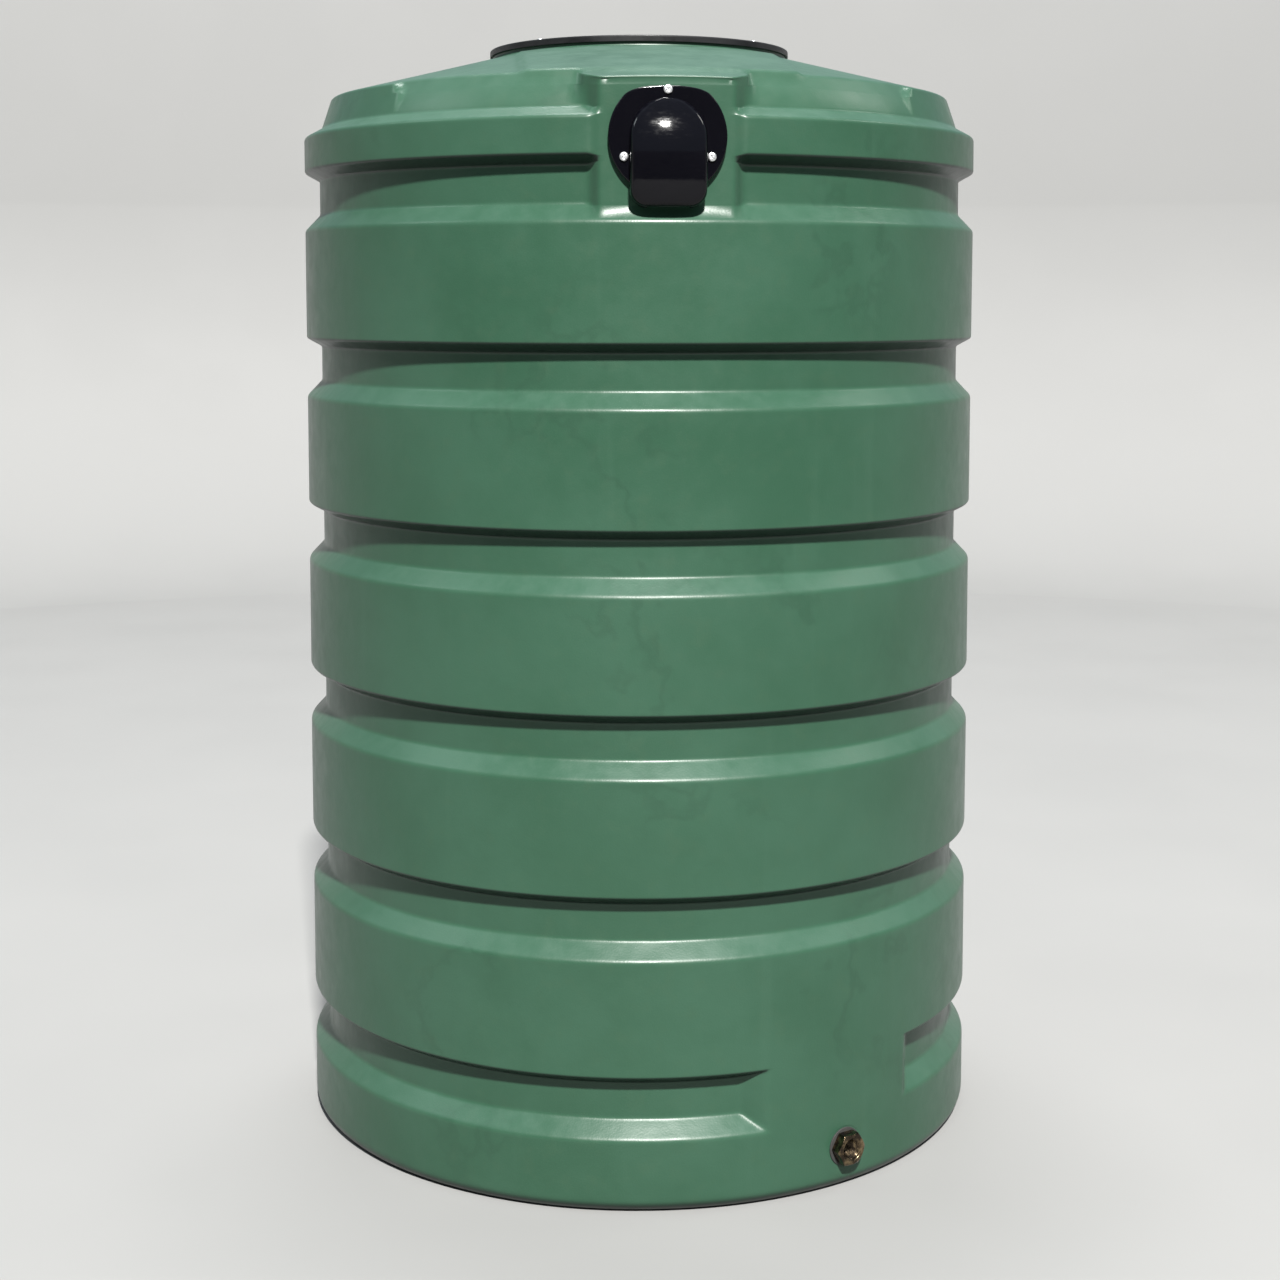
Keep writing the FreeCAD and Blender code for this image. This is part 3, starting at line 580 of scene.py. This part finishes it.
def prism(outline, low, high):
    """Closed solid of a flat outline between two heights."""
    flat = np.column_stack([outline, 0 * outline[:, 0]])
    return solid(np.stack([flat + [0, 0, low], flat + [0, 0, high]]))


def window(turn, inner, outer):
    """Rounded outline between two circles and two spokes."""
    rows = []
    for radius in (inner, outer):
        room = math.pi / SPOKES - math.asin(SPOKE_HALF / radius)
        angle = np.linspace(-room, room, 9)
        rows.append(np.stack([radius * np.cos(angle), radius * np.sin(angle)], axis=-1))
    line = np.vstack([rows[0][::-1], rows[1]])
    marks = np.column_stack([line, np.zeros(len(line))])
    marks[[0, 8, 9, 17], 2] = 3.0
    return turned_by(rounded(marks, closed=True, guard=0.5), turn)


def make_strainer_grid():
    """A disc with eight windows inside its ring and eight outside."""
    disc = lathe(np.array([[172.3, BASKET_FOOT], [172.3, BASKET_FOOT + GRID_THICK]]), around(144))
    grid = build("strainer_spokes", solid(disc))
    windows = []
    for k in range(SPOKES):
        turn = (k + 0.5) * 2 * math.pi / SPOKES
        for inner, outer in ((HUB, RING_INNER), (RING_OUTER, GRID_EDGE)):
            windows.append(prism(window(turn, inner, outer), BASKET_FOOT - 2, BASKET_FOOT + 5))
    return carve(grid, build("windows", *windows))


strainer_spokes = make_strainer_grid()

# %% [markdown]
# ## Screws
# Pan-head screws are turned too: a point, a shank and a domed head. The cross is pressed into the dome
# by lowering the points that lie inside two crossed slots.

# %% Screws
def screw(head, head_rise, shank, length):
    """Grid of a screw along z, with the head's underside at 0 and the cross worked into the dome."""
    dome = np.linspace(1, 0.03, 16)
    outline = [(0.2, -length), (shank * 0.7, -length + shank * 0.6), (shank, -length + shank * 1.6),
               (shank, -0.2), (shank, 0), (head * 0.96, 0), (head, head_rise * 0.12),
               (head * 0.99, head_rise * 0.4), (head * 0.95, head_rise * 0.62)]
    outline += [(head * 0.9 * d, head_rise * (1 - 0.26 * d ** 4)) for d in dome]
    grid = lathe(np.array(outline), around(48))
    across, along, height = grid[..., 0] / head, grid[..., 1] / head, grid[..., 2]
    slot = np.minimum(np.maximum(abs(across) / 0.17, abs(along) / 0.56),
                      np.maximum(abs(across) / 0.56, abs(along) / 0.17))
    depth = 0.5 * head_rise * (1 - smooth_step(0.75, 1.1, slot))
    grid[..., 2] = height - np.where(height > head_rise * 0.7, depth, 0)
    return grid


RIM_MIDDLE, FLANGE_SCREWS = 197.75, ((0.0, 54.5), (-51.5, -23.5), (51.5, -23.5))
rim_screws = []
for k in range(4):
    place = turned_by(np.array([RIM_MIDDLE, 0.0, RIM_TOP]), (k + 0.5) * math.pi / 2)
    rim_screws.append(solid(turned_by(screw(3.6, 1.6, 1.5, 12), 0.7 * k + 0.3) + place))
strainer_heads = build("strainer_heads", *rim_screws)

flange_screws = []
for k, (across, up) in enumerate(FLANGE_SCREWS):
    placed = turned_by(screw(5.5, 3.5, 2.5, 22), 0.5 + 0.9 * k) + [across, up, FLANGE_FACE]
    flange_screws.append(solid(facing(placed, 0.0, OVERFLOW_LEVEL)))
overflow_heads = build("overflow_heads", *flange_screws)

# %% [markdown]
# ## The overflow's flange
# Gasket, flange and screen stack up on the pad. The flange's top is cut off flat to clear the eave.
# A Boolean would leave a sharp edge there. Instead its rings are drawn in towards the centre, which
# keeps the rounded rim all along the flat.

# %% Gasket, flange and screen
KEPT_ROUND, SCREEN_FACE = 48.5, FLANGE_BACK + 1.2


def turned_outwards(name, corners, turn, level, count=128, guard=0.8, flat=None):
    """A closed section turned about a level line through the tank's axis; flat trims the top."""
    outline = rounded(corners, closed=True, guard=guard)
    angle = around(count)
    grid = lathe(outline, angle)
    if flat is not None:
        full = outline[:, 0].max()
        line = flat / np.maximum(-np.cos(angle), 0.2)
        cut_back = full - soft_least(full + 0 * angle, line, 18.0)
        share = np.clip((outline[:, :1] - KEPT_ROUND) / (flat - 6 - KEPT_ROUND), 0, 1)
        scale = 1 - share * cut_back / outline[:, :1]
        grid[..., 0], grid[..., 1] = grid[..., 0] * scale, grid[..., 1] * scale
    return build(name, solid(facing(grid, turn, level), ring=True))


overflow_seal = turned_outwards("overflow_seal", [
    (69, PAD, 0.6), (69, FLANGE_BACK, 0.6), (OVERFLOW_BORE, FLANGE_BACK, 0.4), (OVERFLOW_BORE, PAD, 0.4)],
    0.0, OVERFLOW_LEVEL, flat=59.0)
overflow_plate = turned_outwards("overflow_plate", [
    (OVERFLOW_BORE, FLANGE_FACE, 0), (OVERFLOW_BORE, SCREEN_FACE, 0), (48, SCREEN_FACE, 0),
    (48, FLANGE_BACK, 0), (70, FLANGE_BACK, 0.6), (70, FLANGE_FACE, 2.0)],
    0.0, OVERFLOW_LEVEL, count=192, flat=60.0)
overflow_cloth = turned_outwards("overflow_cloth", [
    (47.9, FLANGE_BACK, 0.2), (47.9, SCREEN_FACE, 0.2), (0.3, SCREEN_FACE, 0), (0.3, FLANGE_BACK, 0)],
    0.0, OVERFLOW_LEVEL, guard=0.2)

# %% [markdown]
# ## The overflow's hood
# The hood turns the water down. It has a round top, straight sides, a bulging front and an open mouth
# in its foot. A box with a Subdivision Surface could be pushed into that shape. Here the outline's
# distance from the centre is known for each direction, and rings at growing shares of that distance
# give the front, a rounded edge, the side and then the inside.

# %% Hood
HOOD_SIDE, HOOD_CORNER, HOOD_FOOT, HOOD_CROWN, HOOD_WALL = 45.0, 20.0, 83.0, 6.0, 3.0
HOOD_EDGE, HOOD_EDGE_INSIDE, MOUTH_DEPTH = 7.0, 3.5, 12.2
BELLY, BULGE, BULGE_DEPTH = 30.0, 121.17, 28.0


def hood_reach(angle, inwards):
    """Distance from the overflow's centre to the hood's outline, for angles measured from the top."""
    side, corner, foot = HOOD_SIDE - inwards, HOOD_CORNER - inwards, HOOD_FOOT - inwards
    aside, down = HOOD_SIDE - HOOD_CORNER, HOOD_FOOT - HOOD_CORNER
    s, c = np.abs(np.sin(angle)), -np.cos(angle)
    low = np.maximum(c, 1e-6)
    straight = np.minimum(side / np.maximum(s, 1e-6), foot / low)
    along = aside * s + down * low
    arc = along + np.sqrt(np.maximum(along ** 2 - aside ** 2 - down ** 2 + corner ** 2, 0))
    in_corner = (straight * s > aside) & (straight * low > down)
    return np.where(c <= 0, side, np.where(in_corner, arc, straight))


def hood_depth(up, across, inwards):
    """How far the front stands out: a circle's arc upwards, and a crown across."""
    depth = np.sqrt((BULGE - inwards) ** 2 - (up + BELLY) ** 2) - (BULGE - BULGE_DEPTH)
    return np.maximum(depth - HOOD_CROWN * (across / HOOD_SIDE) ** 2, 0.0)


def hood_rows(angle, inwards, edge):
    """Rings from the middle of the front to its edge, round the edge and back along the side."""
    reach, cosine, sine = hood_reach(angle, inwards), np.cos(angle), np.sin(angle)
    rim = np.clip(hood_depth(reach * cosine, reach * sine, inwards) - 0.3, 0.3, edge)
    rows = []
    for share in np.concatenate([[0.015], np.linspace(0.08, 1, 22)]):
        distance = share * (reach - rim)
        rows.append((distance, hood_depth(distance * cosine, distance * sine, inwards)))
    for bend in np.radians([12, 24, 36, 48, 60, 72, 84, 90]):
        distance = reach - rim + rim * math.sin(bend)
        depth = hood_depth(distance * cosine, distance * sine, inwards)
        rows.append((distance, depth - rim + rim * math.cos(bend)))
    last = rows[-1][1]
    for share in (0.75, 0.4, 0.1, 0.0):
        rows.append((reach, last * share))
    distance, depth = np.stack(rows, axis=1)
    return np.stack([distance * np.sin(angle), distance * np.cos(angle), FLANGE_FACE + depth], axis=-1)


def make_hood():
    """Outside and inside as one closed shell, with the mouth cut through the foot."""
    angle = around(192)
    inside = hood_rows(angle, HOOD_WALL, HOOD_EDGE_INSIDE)[::-1]
    grid = np.concatenate([hood_rows(angle, 0.0, HOOD_EDGE), inside])
    hood = build("overflow_scoop", solid(facing(grid, 0.0, OVERFLOW_LEVEL)))
    half, back, front = HOOD_SIDE - HOOD_CORNER, 5 - FLANGE_FACE, -FLANGE_FACE - MOUTH_DEPTH
    corners = np.array([[-half, back], [half, back], [half, front], [-half, front]])
    mouth = prism(corners, OVERFLOW_LEVEL - 90.0, OVERFLOW_LEVEL - 66.0)
    return carve(hood, build("mouth", mouth))


overflow_scoop = make_hood()
overflow_scoop.data.set_sharp_from_angle(angle=math.radians(40))

# %% [markdown]
# ## The outlet
# The brass bush is a hexagon with a turned chamfer: for each direction the distance from its axis is
# the smaller of the hexagon's flat and a cone. Its bore carries a thread, a ridge that climbs by one
# pitch for each turn.

# %% Washer, bush and nut
HEXAGON_FLAT, NUT_FLAT, NUT_FOOT, NUT_THICK, CHAMFER = 19.0, 23.0, 440.4, 9.0, 1.73
SHANK_THREAD, BORE_THREAD = (2.3, 15.6, 16.5), (1.81, 12.15, 13.1)


def hexagon(angle, flat):
    """Distance from the centre to a hexagon's side, in each direction; a corner points sideways."""
    part = np.mod(angle, math.pi / 3) - math.pi / 6
    return flat / np.cos(part)


def ridged(height, angle, pitch, low, high):
    """Distance that climbs and falls between two values once per pitch, along a screw line."""
    phase = np.mod(height / pitch - angle / (2 * math.pi), 1)
    return low + (high - low) * np.clip(1.15 - np.abs(2 * phase - 1) * 1.3, 0, 1)


def rows_of(marks, angle):
    """One value per row, the same in every direction."""
    return np.array(marks)[:, None] * np.ones((1, len(angle)))


def hexagon_rows(flat, low, high, angle):
    """Distance and height of a hexagonal collar's outside, with a chamfer at the upper end."""
    drops = np.array([0.0, 0.3, 0.8, 1.3, 1.8, 2.4, 3.2])
    marks = np.concatenate([[low, low + 0.4], high - drops[::-1]])
    cone = np.concatenate([[flat + 1.9, 99.0], (flat - 0.4 + CHAMFER * drops)[::-1]])
    reach = soft_least(hexagon(angle, flat)[None, :], cone[:, None], 0.35)
    return reach, rows_of(marks, angle)


def outlet_piece(name, distance, height, angle):
    """A closed section, given by rows round the outlet's axis, stood in its place."""
    grid = np.stack([distance * np.cos(angle), distance * np.sin(angle), height], axis=-1)
    return build(name, solid(facing(grid, OUTLET_TURN, OUTLET_LEVEL), ring=True), sharp=30)


def make_bush():
    """Hexagon, shank and threaded bore of the outlet, as one ring section."""
    angle = around(120)
    reach, mark = hexagon_rows(HEXAGON_FLAT, WASHER_FACE, HEXAGON_FACE, angle)
    length = WASHER_FACE - SHANK_END
    shank_marks = SHANK_END + rows_of([0, 0.5, 1.2, *np.arange(1.7, length - 0.4, 0.5), length], angle)
    shank = ridged(shank_marks, angle[None, :], *SHANK_THREAD)
    shank[:2] = rows_of([15.2, 15.6], angle)
    depth = HEXAGON_FACE - SHANK_END
    bore_marks = [0, 0.4, 1.0, *np.arange(1.4, depth - 0.8, 0.45), depth - 0.4, depth]
    bore_marks = HEXAGON_FACE - rows_of(bore_marks, angle)
    thread = ridged(bore_marks, angle[None, :], *BORE_THREAD)
    thread[:3] = rows_of([14.6, 14.2, 13.5], angle)
    thread[-2:] = rows_of([13.2, 13.6], angle)
    height = np.vstack([shank_marks, mark, bore_marks])
    return outlet_piece("outlet_brass", np.vstack([shank, reach, thread]), height, angle)


def make_nut():
    """Hexagon nut on the inside, with chamfers at both ends."""
    angle = around(96)
    marks = np.array([0, 0.3, 0.8, 1.4, 2.2, 6.8, 7.6, 8.2, 8.7, NUT_THICK])
    cone = NUT_FLAT - 0.6 + CHAMFER * np.minimum(marks, NUT_THICK - marks)
    reach = soft_least(hexagon(angle, NUT_FLAT)[None, :], cone[:, None], 0.35)
    distance = np.vstack([reach, rows_of([17.4, 16.6, 16.6, 17.4], angle)])
    height = NUT_FOOT + rows_of([*marks, NUT_THICK, NUT_THICK - 0.5, 0.5, 0], angle)
    return outlet_piece("outlet_locknut", distance, height, angle)


outlet_seal = turned_outwards("outlet_seal", [
    (24, SPOT_FACE, 0.5), (24, WASHER_FACE, 0.5), (OUTLET_BORE, WASHER_FACE, 0.2),
    (OUTLET_BORE, SPOT_FACE, 0.2)], OUTLET_TURN, OUTLET_LEVEL, count=96, guard=0.4)
outlet_brass = make_bush()
outlet_locknut = make_nut()

# %% [markdown]
# ## Which CAD nodes each piece stands for
# One table gives, for each dressed piece, the CAD nodes that it stands for and the material slot that
# it takes its finish from.

# %% Tie pieces to the CAD model
WALL_NODES = ["wall_overflow_segment", "wall_outlet_segment"]
WALL_NODES += [f"wall_segment_{k:02d}" for k in range(3, 13)]
STANDS_FOR = [
    (wall_shell, WALL_NODES, "tank_plastic"),
    (floor_shell, ["tank_floor"], "tank_plastic"),
    (roof_shell, ["roof"], "tank_plastic"),
    (strainer_rim, ["strainer_basket"], "strainer_plastic"),
    (strainer_spokes, ["strainer_grid"], "strainer_plastic"),
    (strainer_cloth, ["strainer_mesh"], "mesh"),
    (strainer_heads, ["strainer_screws"], "screw_steel"),
    (overflow_seal, ["overflow_gasket"], "gasket_rubber"),
    (overflow_plate, ["overflow_flange"], "overflow_plastic"),
    (overflow_cloth, ["overflow_screen"], "mesh"),
    (overflow_scoop, ["overflow_hood"], "overflow_plastic"),
    (overflow_heads, ["overflow_screws"], "screw_steel"),
    (outlet_seal, ["outlet_washer"], "gasket_rubber"),
    (outlet_brass, ["outlet_bush"], "brass"),
    (outlet_locknut, ["outlet_nut"], "brass"),
]
for piece, stood_for, finish in STANDS_FOR:
    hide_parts(*stood_for)
print(sum(len(nodes) for _, nodes, _ in STANDS_FOR), "CAD nodes are stood for")

# %% [markdown]
# ## Materials
# All materials are procedural. Two small classes keep the node trees short to write: Wire wraps one
# output, so that sums read as sums, and Paint holds a material and adds nodes to it.

# %% Shader helpers
class Wire:
    """One output of a shader node; arithmetic on it adds Math nodes."""

    def __init__(self, tree, socket):
        self.tree, self.socket = tree, socket

    def math(self, kind, *terms):
        """A Math node of this kind, fed by the terms."""
        node = self.tree.nodes.new("ShaderNodeMath")
        node.operation = kind
        for socket, term in zip(node.inputs, terms):
            feed(self.tree, socket, term)
        return Wire(self.tree, node.outputs[0])

    def __add__(self, other):
        return self.math("ADD", self, other)

    def __sub__(self, other):
        return self.math("SUBTRACT", self, other)

    def __rsub__(self, other):
        return self.math("SUBTRACT", other, self)

    def __mul__(self, other):
        return self.math("MULTIPLY", self, other)

    def __abs__(self):
        return self.math("ABSOLUTE", self)

    __radd__, __rmul__ = __add__, __mul__


def feed(tree, socket, value):
    """Link a wire to an input, or set the input to a plain value."""
    if isinstance(value, Wire):
        tree.links.new(value.socket, socket)
    else:
        socket.default_value = value


class Paint:
    """A material with one Principled surface, and the means to add nodes to it."""

    def __init__(self, name):
        self.material = bpy.data.materials.new(name)
        self.material.use_nodes = True
        self.tree = self.material.node_tree
        self.surface = self.tree.nodes["Principled BSDF"]

    def add(self, kind, settings=None, inputs=None, output=0):
        """Any node: its settings first, then its inputs; gives one of its outputs as a wire."""
        node = self.tree.nodes.new("ShaderNode" + kind)
        for name, value in (settings or {}).items():
            setattr(node, name, value)
        for name, value in (inputs or {}).items():
            feed(self.tree, node.inputs[name], value)
        return Wire(self.tree, node.outputs[output])

    def place(self):
        """Object coordinates, which are metres in the shared frame."""
        return self.add("TexCoord", output="Object")

    def noise(self, scale, detail=3.0, rough=0.5, stretch=(1, 1, 1), shift=(0, 0, 0)):
        """Smooth noise from 0 to 1, denser along an axis where stretch is larger."""
        spot = self.add("VectorMath", {"operation": "MULTIPLY"}, {0: self.place(), 1: stretch})
        spot = self.add("VectorMath", {"operation": "ADD"}, {0: spot, 1: shift})
        inputs = {"Vector": spot, "Scale": scale, "Detail": detail, "Roughness": rough}
        return self.add("TexNoise", {}, inputs)

    def span(self, value, low, high, to_low=0.0, to_high=1.0):
        """Map a range to another, smoothly and without going past its ends."""
        return self.add("MapRange", {"interpolation_type": "SMOOTHSTEP"}, {
            "Value": value, "From Min": low, "From Max": high, "To Min": to_low, "To Max": to_high})

    def facing_up(self):
        """Upward part of the surface's normal, from -1 underneath to 1 on top."""
        return self.add("SeparateXYZ", {}, {0: self.add("NewGeometry", output="Normal")}, output=2)

    def blend(self, share, first, second):
        """Mix of two colours."""
        return self.add("Mix", {"data_type": "RGBA"}, {0: share, 6: first, 7: second}, output=2)

    def bump(self, height, distance, strength, **under):
        """Normal from a height, over another normal where one is given as Normal."""
        inputs = {"Height": height, "Distance": distance, "Strength": strength, **under}
        return self.add("Bump", {}, inputs)

    def finish(self, **inputs):
        """Set or link inputs of the surface; underscores stand for spaces."""
        for name, value in inputs.items():
            feed(self.tree, self.surface.inputs[name.replace("_", " ")], value)
        return self.material


# %% [markdown]
# ## The tank's plastic
# Coloured polyethylene has a satin skin. In the photograph it is cloudy, with faint lighter streaks
# that run down from the bands, and it is paler on the shoulders, where dust settles. A fine orange
# peel in the bump breaks up the reflections.
# Surfaces that face down are darkened towards black: painted shade for the shadow under each band.

# %% Green plastic
def tank_plastic():
    """Satin green with clouds, faint dark wisps, dust on what faces up, painted shade on what faces down
    and a fine orange peel.
    """
    paint = Paint("tank_green")
    cloud = paint.noise(5.5, 5.0, 0.6)
    fine = paint.noise(38, 4.0, 0.6, shift=(4, 7, 2))
    streak = paint.noise(26, 4.0, 0.55, stretch=(1, 1, 0.06), shift=(9, 1, 5))
    deep, pale = (0.0178, 0.0531, 0.0307, 1), (0.0228, 0.0622, 0.0382, 1)
    base = paint.blend(paint.span(cloud, 0.3, 0.72), deep, pale)
    base = paint.blend(paint.span(fine, 0.5, 0.8, 0, 0.3), base, (0.0266, 0.0598, 0.034, 1))
    base = paint.blend(paint.span(streak, 0.58, 0.78, 0, 0.22), base, (0.0307, 0.073, 0.0473, 1))
    wisp = abs(paint.noise(6.5, 4.0, 0.58, shift=(3, 3, 8)) - 0.5)
    patch = paint.span(paint.noise(3.2, 2.0, shift=(8, 2, 6)), 0.5, 0.64)
    base = paint.blend(paint.span(wisp, 0.035, 0.0, 0, 0.3) * patch, base, (0.0133, 0.0382, 0.0224, 1))
    facing_up = paint.facing_up()
    dust = paint.span(facing_up, 0.35, 0.95) * paint.span(fine + cloud, 0.7, 1.3, 0.25, 0.7)
    base = paint.blend(dust, base, (0.0365, 0.0813, 0.0581, 1))
    # Painted shade: what faces down is darkened nearly to black, for the shadow that falls under each
    # band.
    painted_underside_shade = paint.span(facing_up, -0.1, -0.6, 0, 0.88)
    base = paint.blend(painted_underside_shade, base, (0.004, 0.010, 0.007, 1))
    rough = paint.span(cloud + fine, 0.6, 1.4, 0.30, 0.41) + dust * 0.05
    peel = paint.noise(420, 2.0)
    swell = paint.noise(22, 2.0, 0.4, shift=(1, 5, 3))
    normal = paint.bump(peel, 0.0004, 0.25, Normal=paint.bump(swell, 0.004, 0.25))
    return paint.finish(Base_Color=base, Roughness=rough, Normal=normal, Specular_IOR_Level=0.32)


# %% [markdown]
# ## Black plastics, rubber, mesh and metals
# The hood and its flange are glossy, with small scuffs and a little dust on top. The strainer is
# duller. The woven mesh is a pattern of crossed wires with holes between them. Brass and steel get
# fine scratches in their roughness, so that their glints aren't even.

# %% Fittings
def overflow_plastic():
    """Gloss black with scuffs and dust on what faces up."""
    paint = Paint("gloss_black")
    cloud, scuff = paint.noise(16, 4.0, 0.6), paint.noise(90, 5.0, 0.7, stretch=(1, 1, 3))
    facing_up = paint.facing_up()
    dust = paint.span(facing_up, 0.4, 1.0, 0, 0.35) * paint.span(scuff, 0.35, 0.7)
    base = paint.blend(cloud, (0.0008, 0.0008, 0.0016, 1), (0.002, 0.0018, 0.0032, 1))
    base = paint.blend(dust, base, (0.012, 0.013, 0.018, 1))
    rough = paint.span(scuff, 0.45, 0.75, 0.07, 0.15) + dust * 0.2
    normal = paint.bump(cloud, 0.002, 0.10, Normal=paint.bump(scuff, 0.0003, 0.12))
    return paint.finish(Base_Color=base, Roughness=rough, Normal=normal, Specular_IOR_Level=0.22)


def strainer_plastic():
    """Duller black, a little greyed by the sun."""
    paint = Paint("strainer_black")
    cloud, grain = paint.noise(14, 4.0, 0.6), paint.noise(300, 3.0, 0.6)
    base = paint.blend(paint.span(cloud, 0.35, 0.7), (0.004, 0.004, 0.0045, 1), (0.011, 0.011, 0.012, 1))
    rough = paint.span(cloud + grain, 0.6, 1.4, 0.34, 0.55)
    normal = paint.bump(grain, 0.0003, 0.3)
    return paint.finish(Base_Color=base, Roughness=rough, Normal=normal, Specular_IOR_Level=0.25)


def gasket_rubber():
    """Matt black rubber with a fine grain."""
    paint = Paint("rubber_black")
    cloud, grain = paint.noise(40, 3.0, 0.6), paint.noise(700, 2.0)
    base = paint.blend(cloud, (0.012, 0.012, 0.012, 1), (0.032, 0.031, 0.030, 1))
    rough = paint.span(grain, 0.3, 0.7, 0.65, 0.85)
    return paint.finish(Base_Color=base, Roughness=rough, Normal=paint.bump(grain, 0.0003, 0.4))


def brass():
    """Turned brass, tarnished brown in blotches, with fine scratches."""
    paint = Paint("tarnished_brass")
    blotch, scratch = paint.noise(110, 4.0, 0.6), paint.noise(500, 3.0, 0.6, stretch=(1, 1, 0.15))
    base = paint.blend(paint.span(blotch, 0.3, 0.62), (0.26, 0.19, 0.11, 1), (0.045, 0.034, 0.025, 1))
    rough = paint.span(scratch + blotch, 0.6, 1.4, 0.12, 0.36)
    normal = paint.bump(scratch, 0.0002, 0.3)
    return paint.finish(Base_Color=base, Metallic=1.0, Roughness=rough, Normal=normal)


def screw_steel():
    """Bright plated steel with fine scratches."""
    paint = Paint("plated_steel")
    blotch, scratch = paint.noise(160, 3.0, 0.6), paint.noise(900, 3.0, 0.6)
    base = paint.blend(blotch, (0.86, 0.86, 0.87, 1), (0.70, 0.70, 0.71, 1))
    rough = paint.span(scratch, 0.3, 0.7, 0.30, 0.48)
    normal = paint.bump(scratch, 0.0002, 0.2)
    return paint.finish(Base_Color=base, Metallic=1.0, Roughness=rough, Normal=normal)


def woven_mesh(name, axes, pitch=0.0016):
    """Crossed wires along two of the three axes, with holes between them."""
    paint = Paint(name)
    parts = paint.add("SeparateXYZ", {}, {0: paint.place()}).socket.node
    first, second = (Wire(paint.tree, parts.outputs[axis]) for axis in axes)
    waves = [first * (2 * math.pi / pitch), second * (2 * math.pi / pitch)]
    one, other = (wave.math("SINE", wave) for wave in waves)
    wire = one.math("MAXIMUM", one, other)
    solid_part = paint.span(wire, 0.1, 0.4)
    tint = paint.blend(paint.noise(60, 3.0), (0.15, 0.15, 0.155, 1), (0.27, 0.27, 0.275, 1))
    rough = paint.span(paint.noise(200, 2.0), 0.3, 0.7, 0.28, 0.5)
    return paint.finish(Base_Color=tint, Metallic=1.0, Roughness=rough, Alpha=solid_part,
                        Normal=paint.bump(wire, 0.0004, 0.8))


MAKERS = (tank_plastic, overflow_plastic, strainer_plastic, gasket_rubber, brass, screw_steel)
FINISHES = {make.__name__: make() for make in MAKERS}
LEVEL_MESH, UPRIGHT_MESH = woven_mesh("level_mesh", (0, 1)), woven_mesh("upright_mesh", (0, 2))
for piece, stood_for, finish in STANDS_FOR:
    material = FINISHES.get(finish) or (LEVEL_MESH if piece is strainer_cloth else UPRIGHT_MESH)
    piece.data.materials.clear()
    piece.data.materials.append(material)
    for node in stood_for:
        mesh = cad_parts[node].data
        for k in range(len(mesh.materials)):
            mesh.materials[k] = material
print(len(bpy.data.materials), "materials")

# %% [markdown]
# ## Floor and light
# The floor and the walls round it are one pale sweep, so no edge shows behind the tank. One distant
# lamp stands high in front, as the sun does in the photograph: each band throws a dark crescent into
# the groove below it. A wide lamp close by would blur the crescents away. Weak side lights keep the
# flanks readable, and a lamp above the back lights the roof.

# %% Studio
def make_sweep():
    """A pale round floor whose edge curves up into a wall, as one surface turned round the tank."""
    paint = Paint("sweep_pale")
    cloud = paint.noise(2.0, 3.0)
    tint = paint.blend(cloud, (0.195, 0.195, 0.193, 1), (0.21, 0.21, 0.208, 1))
    paint.finish(Base_Color=tint, Roughness=paint.span(cloud, 0.3, 0.7, 0.8, 0.95))
    reach, height, back = 6500, 2800, 100
    corners = [(0.3, -0.2, 0), (reach, -0.2, 1500), (reach, height, 0),
               (reach + back, height, 0), (reach + back, -back, 0), (0.3, -back, 0)]
    sweep = place_mesh("sweep", *solid(lathe(rounded(corners, guard=20), around(160))))
    sweep.data.materials.append(paint.material)


def make_light(name, turn, lift, distance, size, tone, colour=(1, 1, 1)):
    """A square lamp aimed at the tank's middle; tone is the brightness it gives a white card there."""
    data = bpy.data.lights.new(name, "AREA")
    data.size, data.energy, data.color = size, tone * (math.pi * distance) ** 2, colour
    lamp = put_in_scene(name, data)
    turn, lift = math.radians(turn), math.radians(lift)
    way = Vector((math.sin(turn) * math.cos(lift), -math.cos(turn) * math.cos(lift), math.sin(lift)))
    lamp.location = Vector((0, 0, 0.75)) + way * distance
    lamp.rotation_euler = way.to_track_quat("Z", "Y").to_euler()


make_sweep()
make_light("key", 2.7, 46, 25.0, 1.4, 3.6, (1.0, 0.985, 0.95))
make_light("left", -95, 45, 9.0, 2.0, 0.1, (0.90, 0.97, 1.0))
make_light("right", 100, 45, 9.0, 2.0, 0.12, (1.0, 0.97, 0.93))
make_light("above", 180, 75, 9.0, 2.5, 0.7)
world = bpy.data.worlds.new("studio")
world.use_nodes = True
tint, strength = world.node_tree.nodes["Background"].inputs[:2]
tint.default_value, strength.default_value = (0.74, 0.88, 1.0, 1), 0.42
bpy.context.scene.world = world
bpy.context.scene.view_settings.view_transform = "Standard"
print("lights placed")
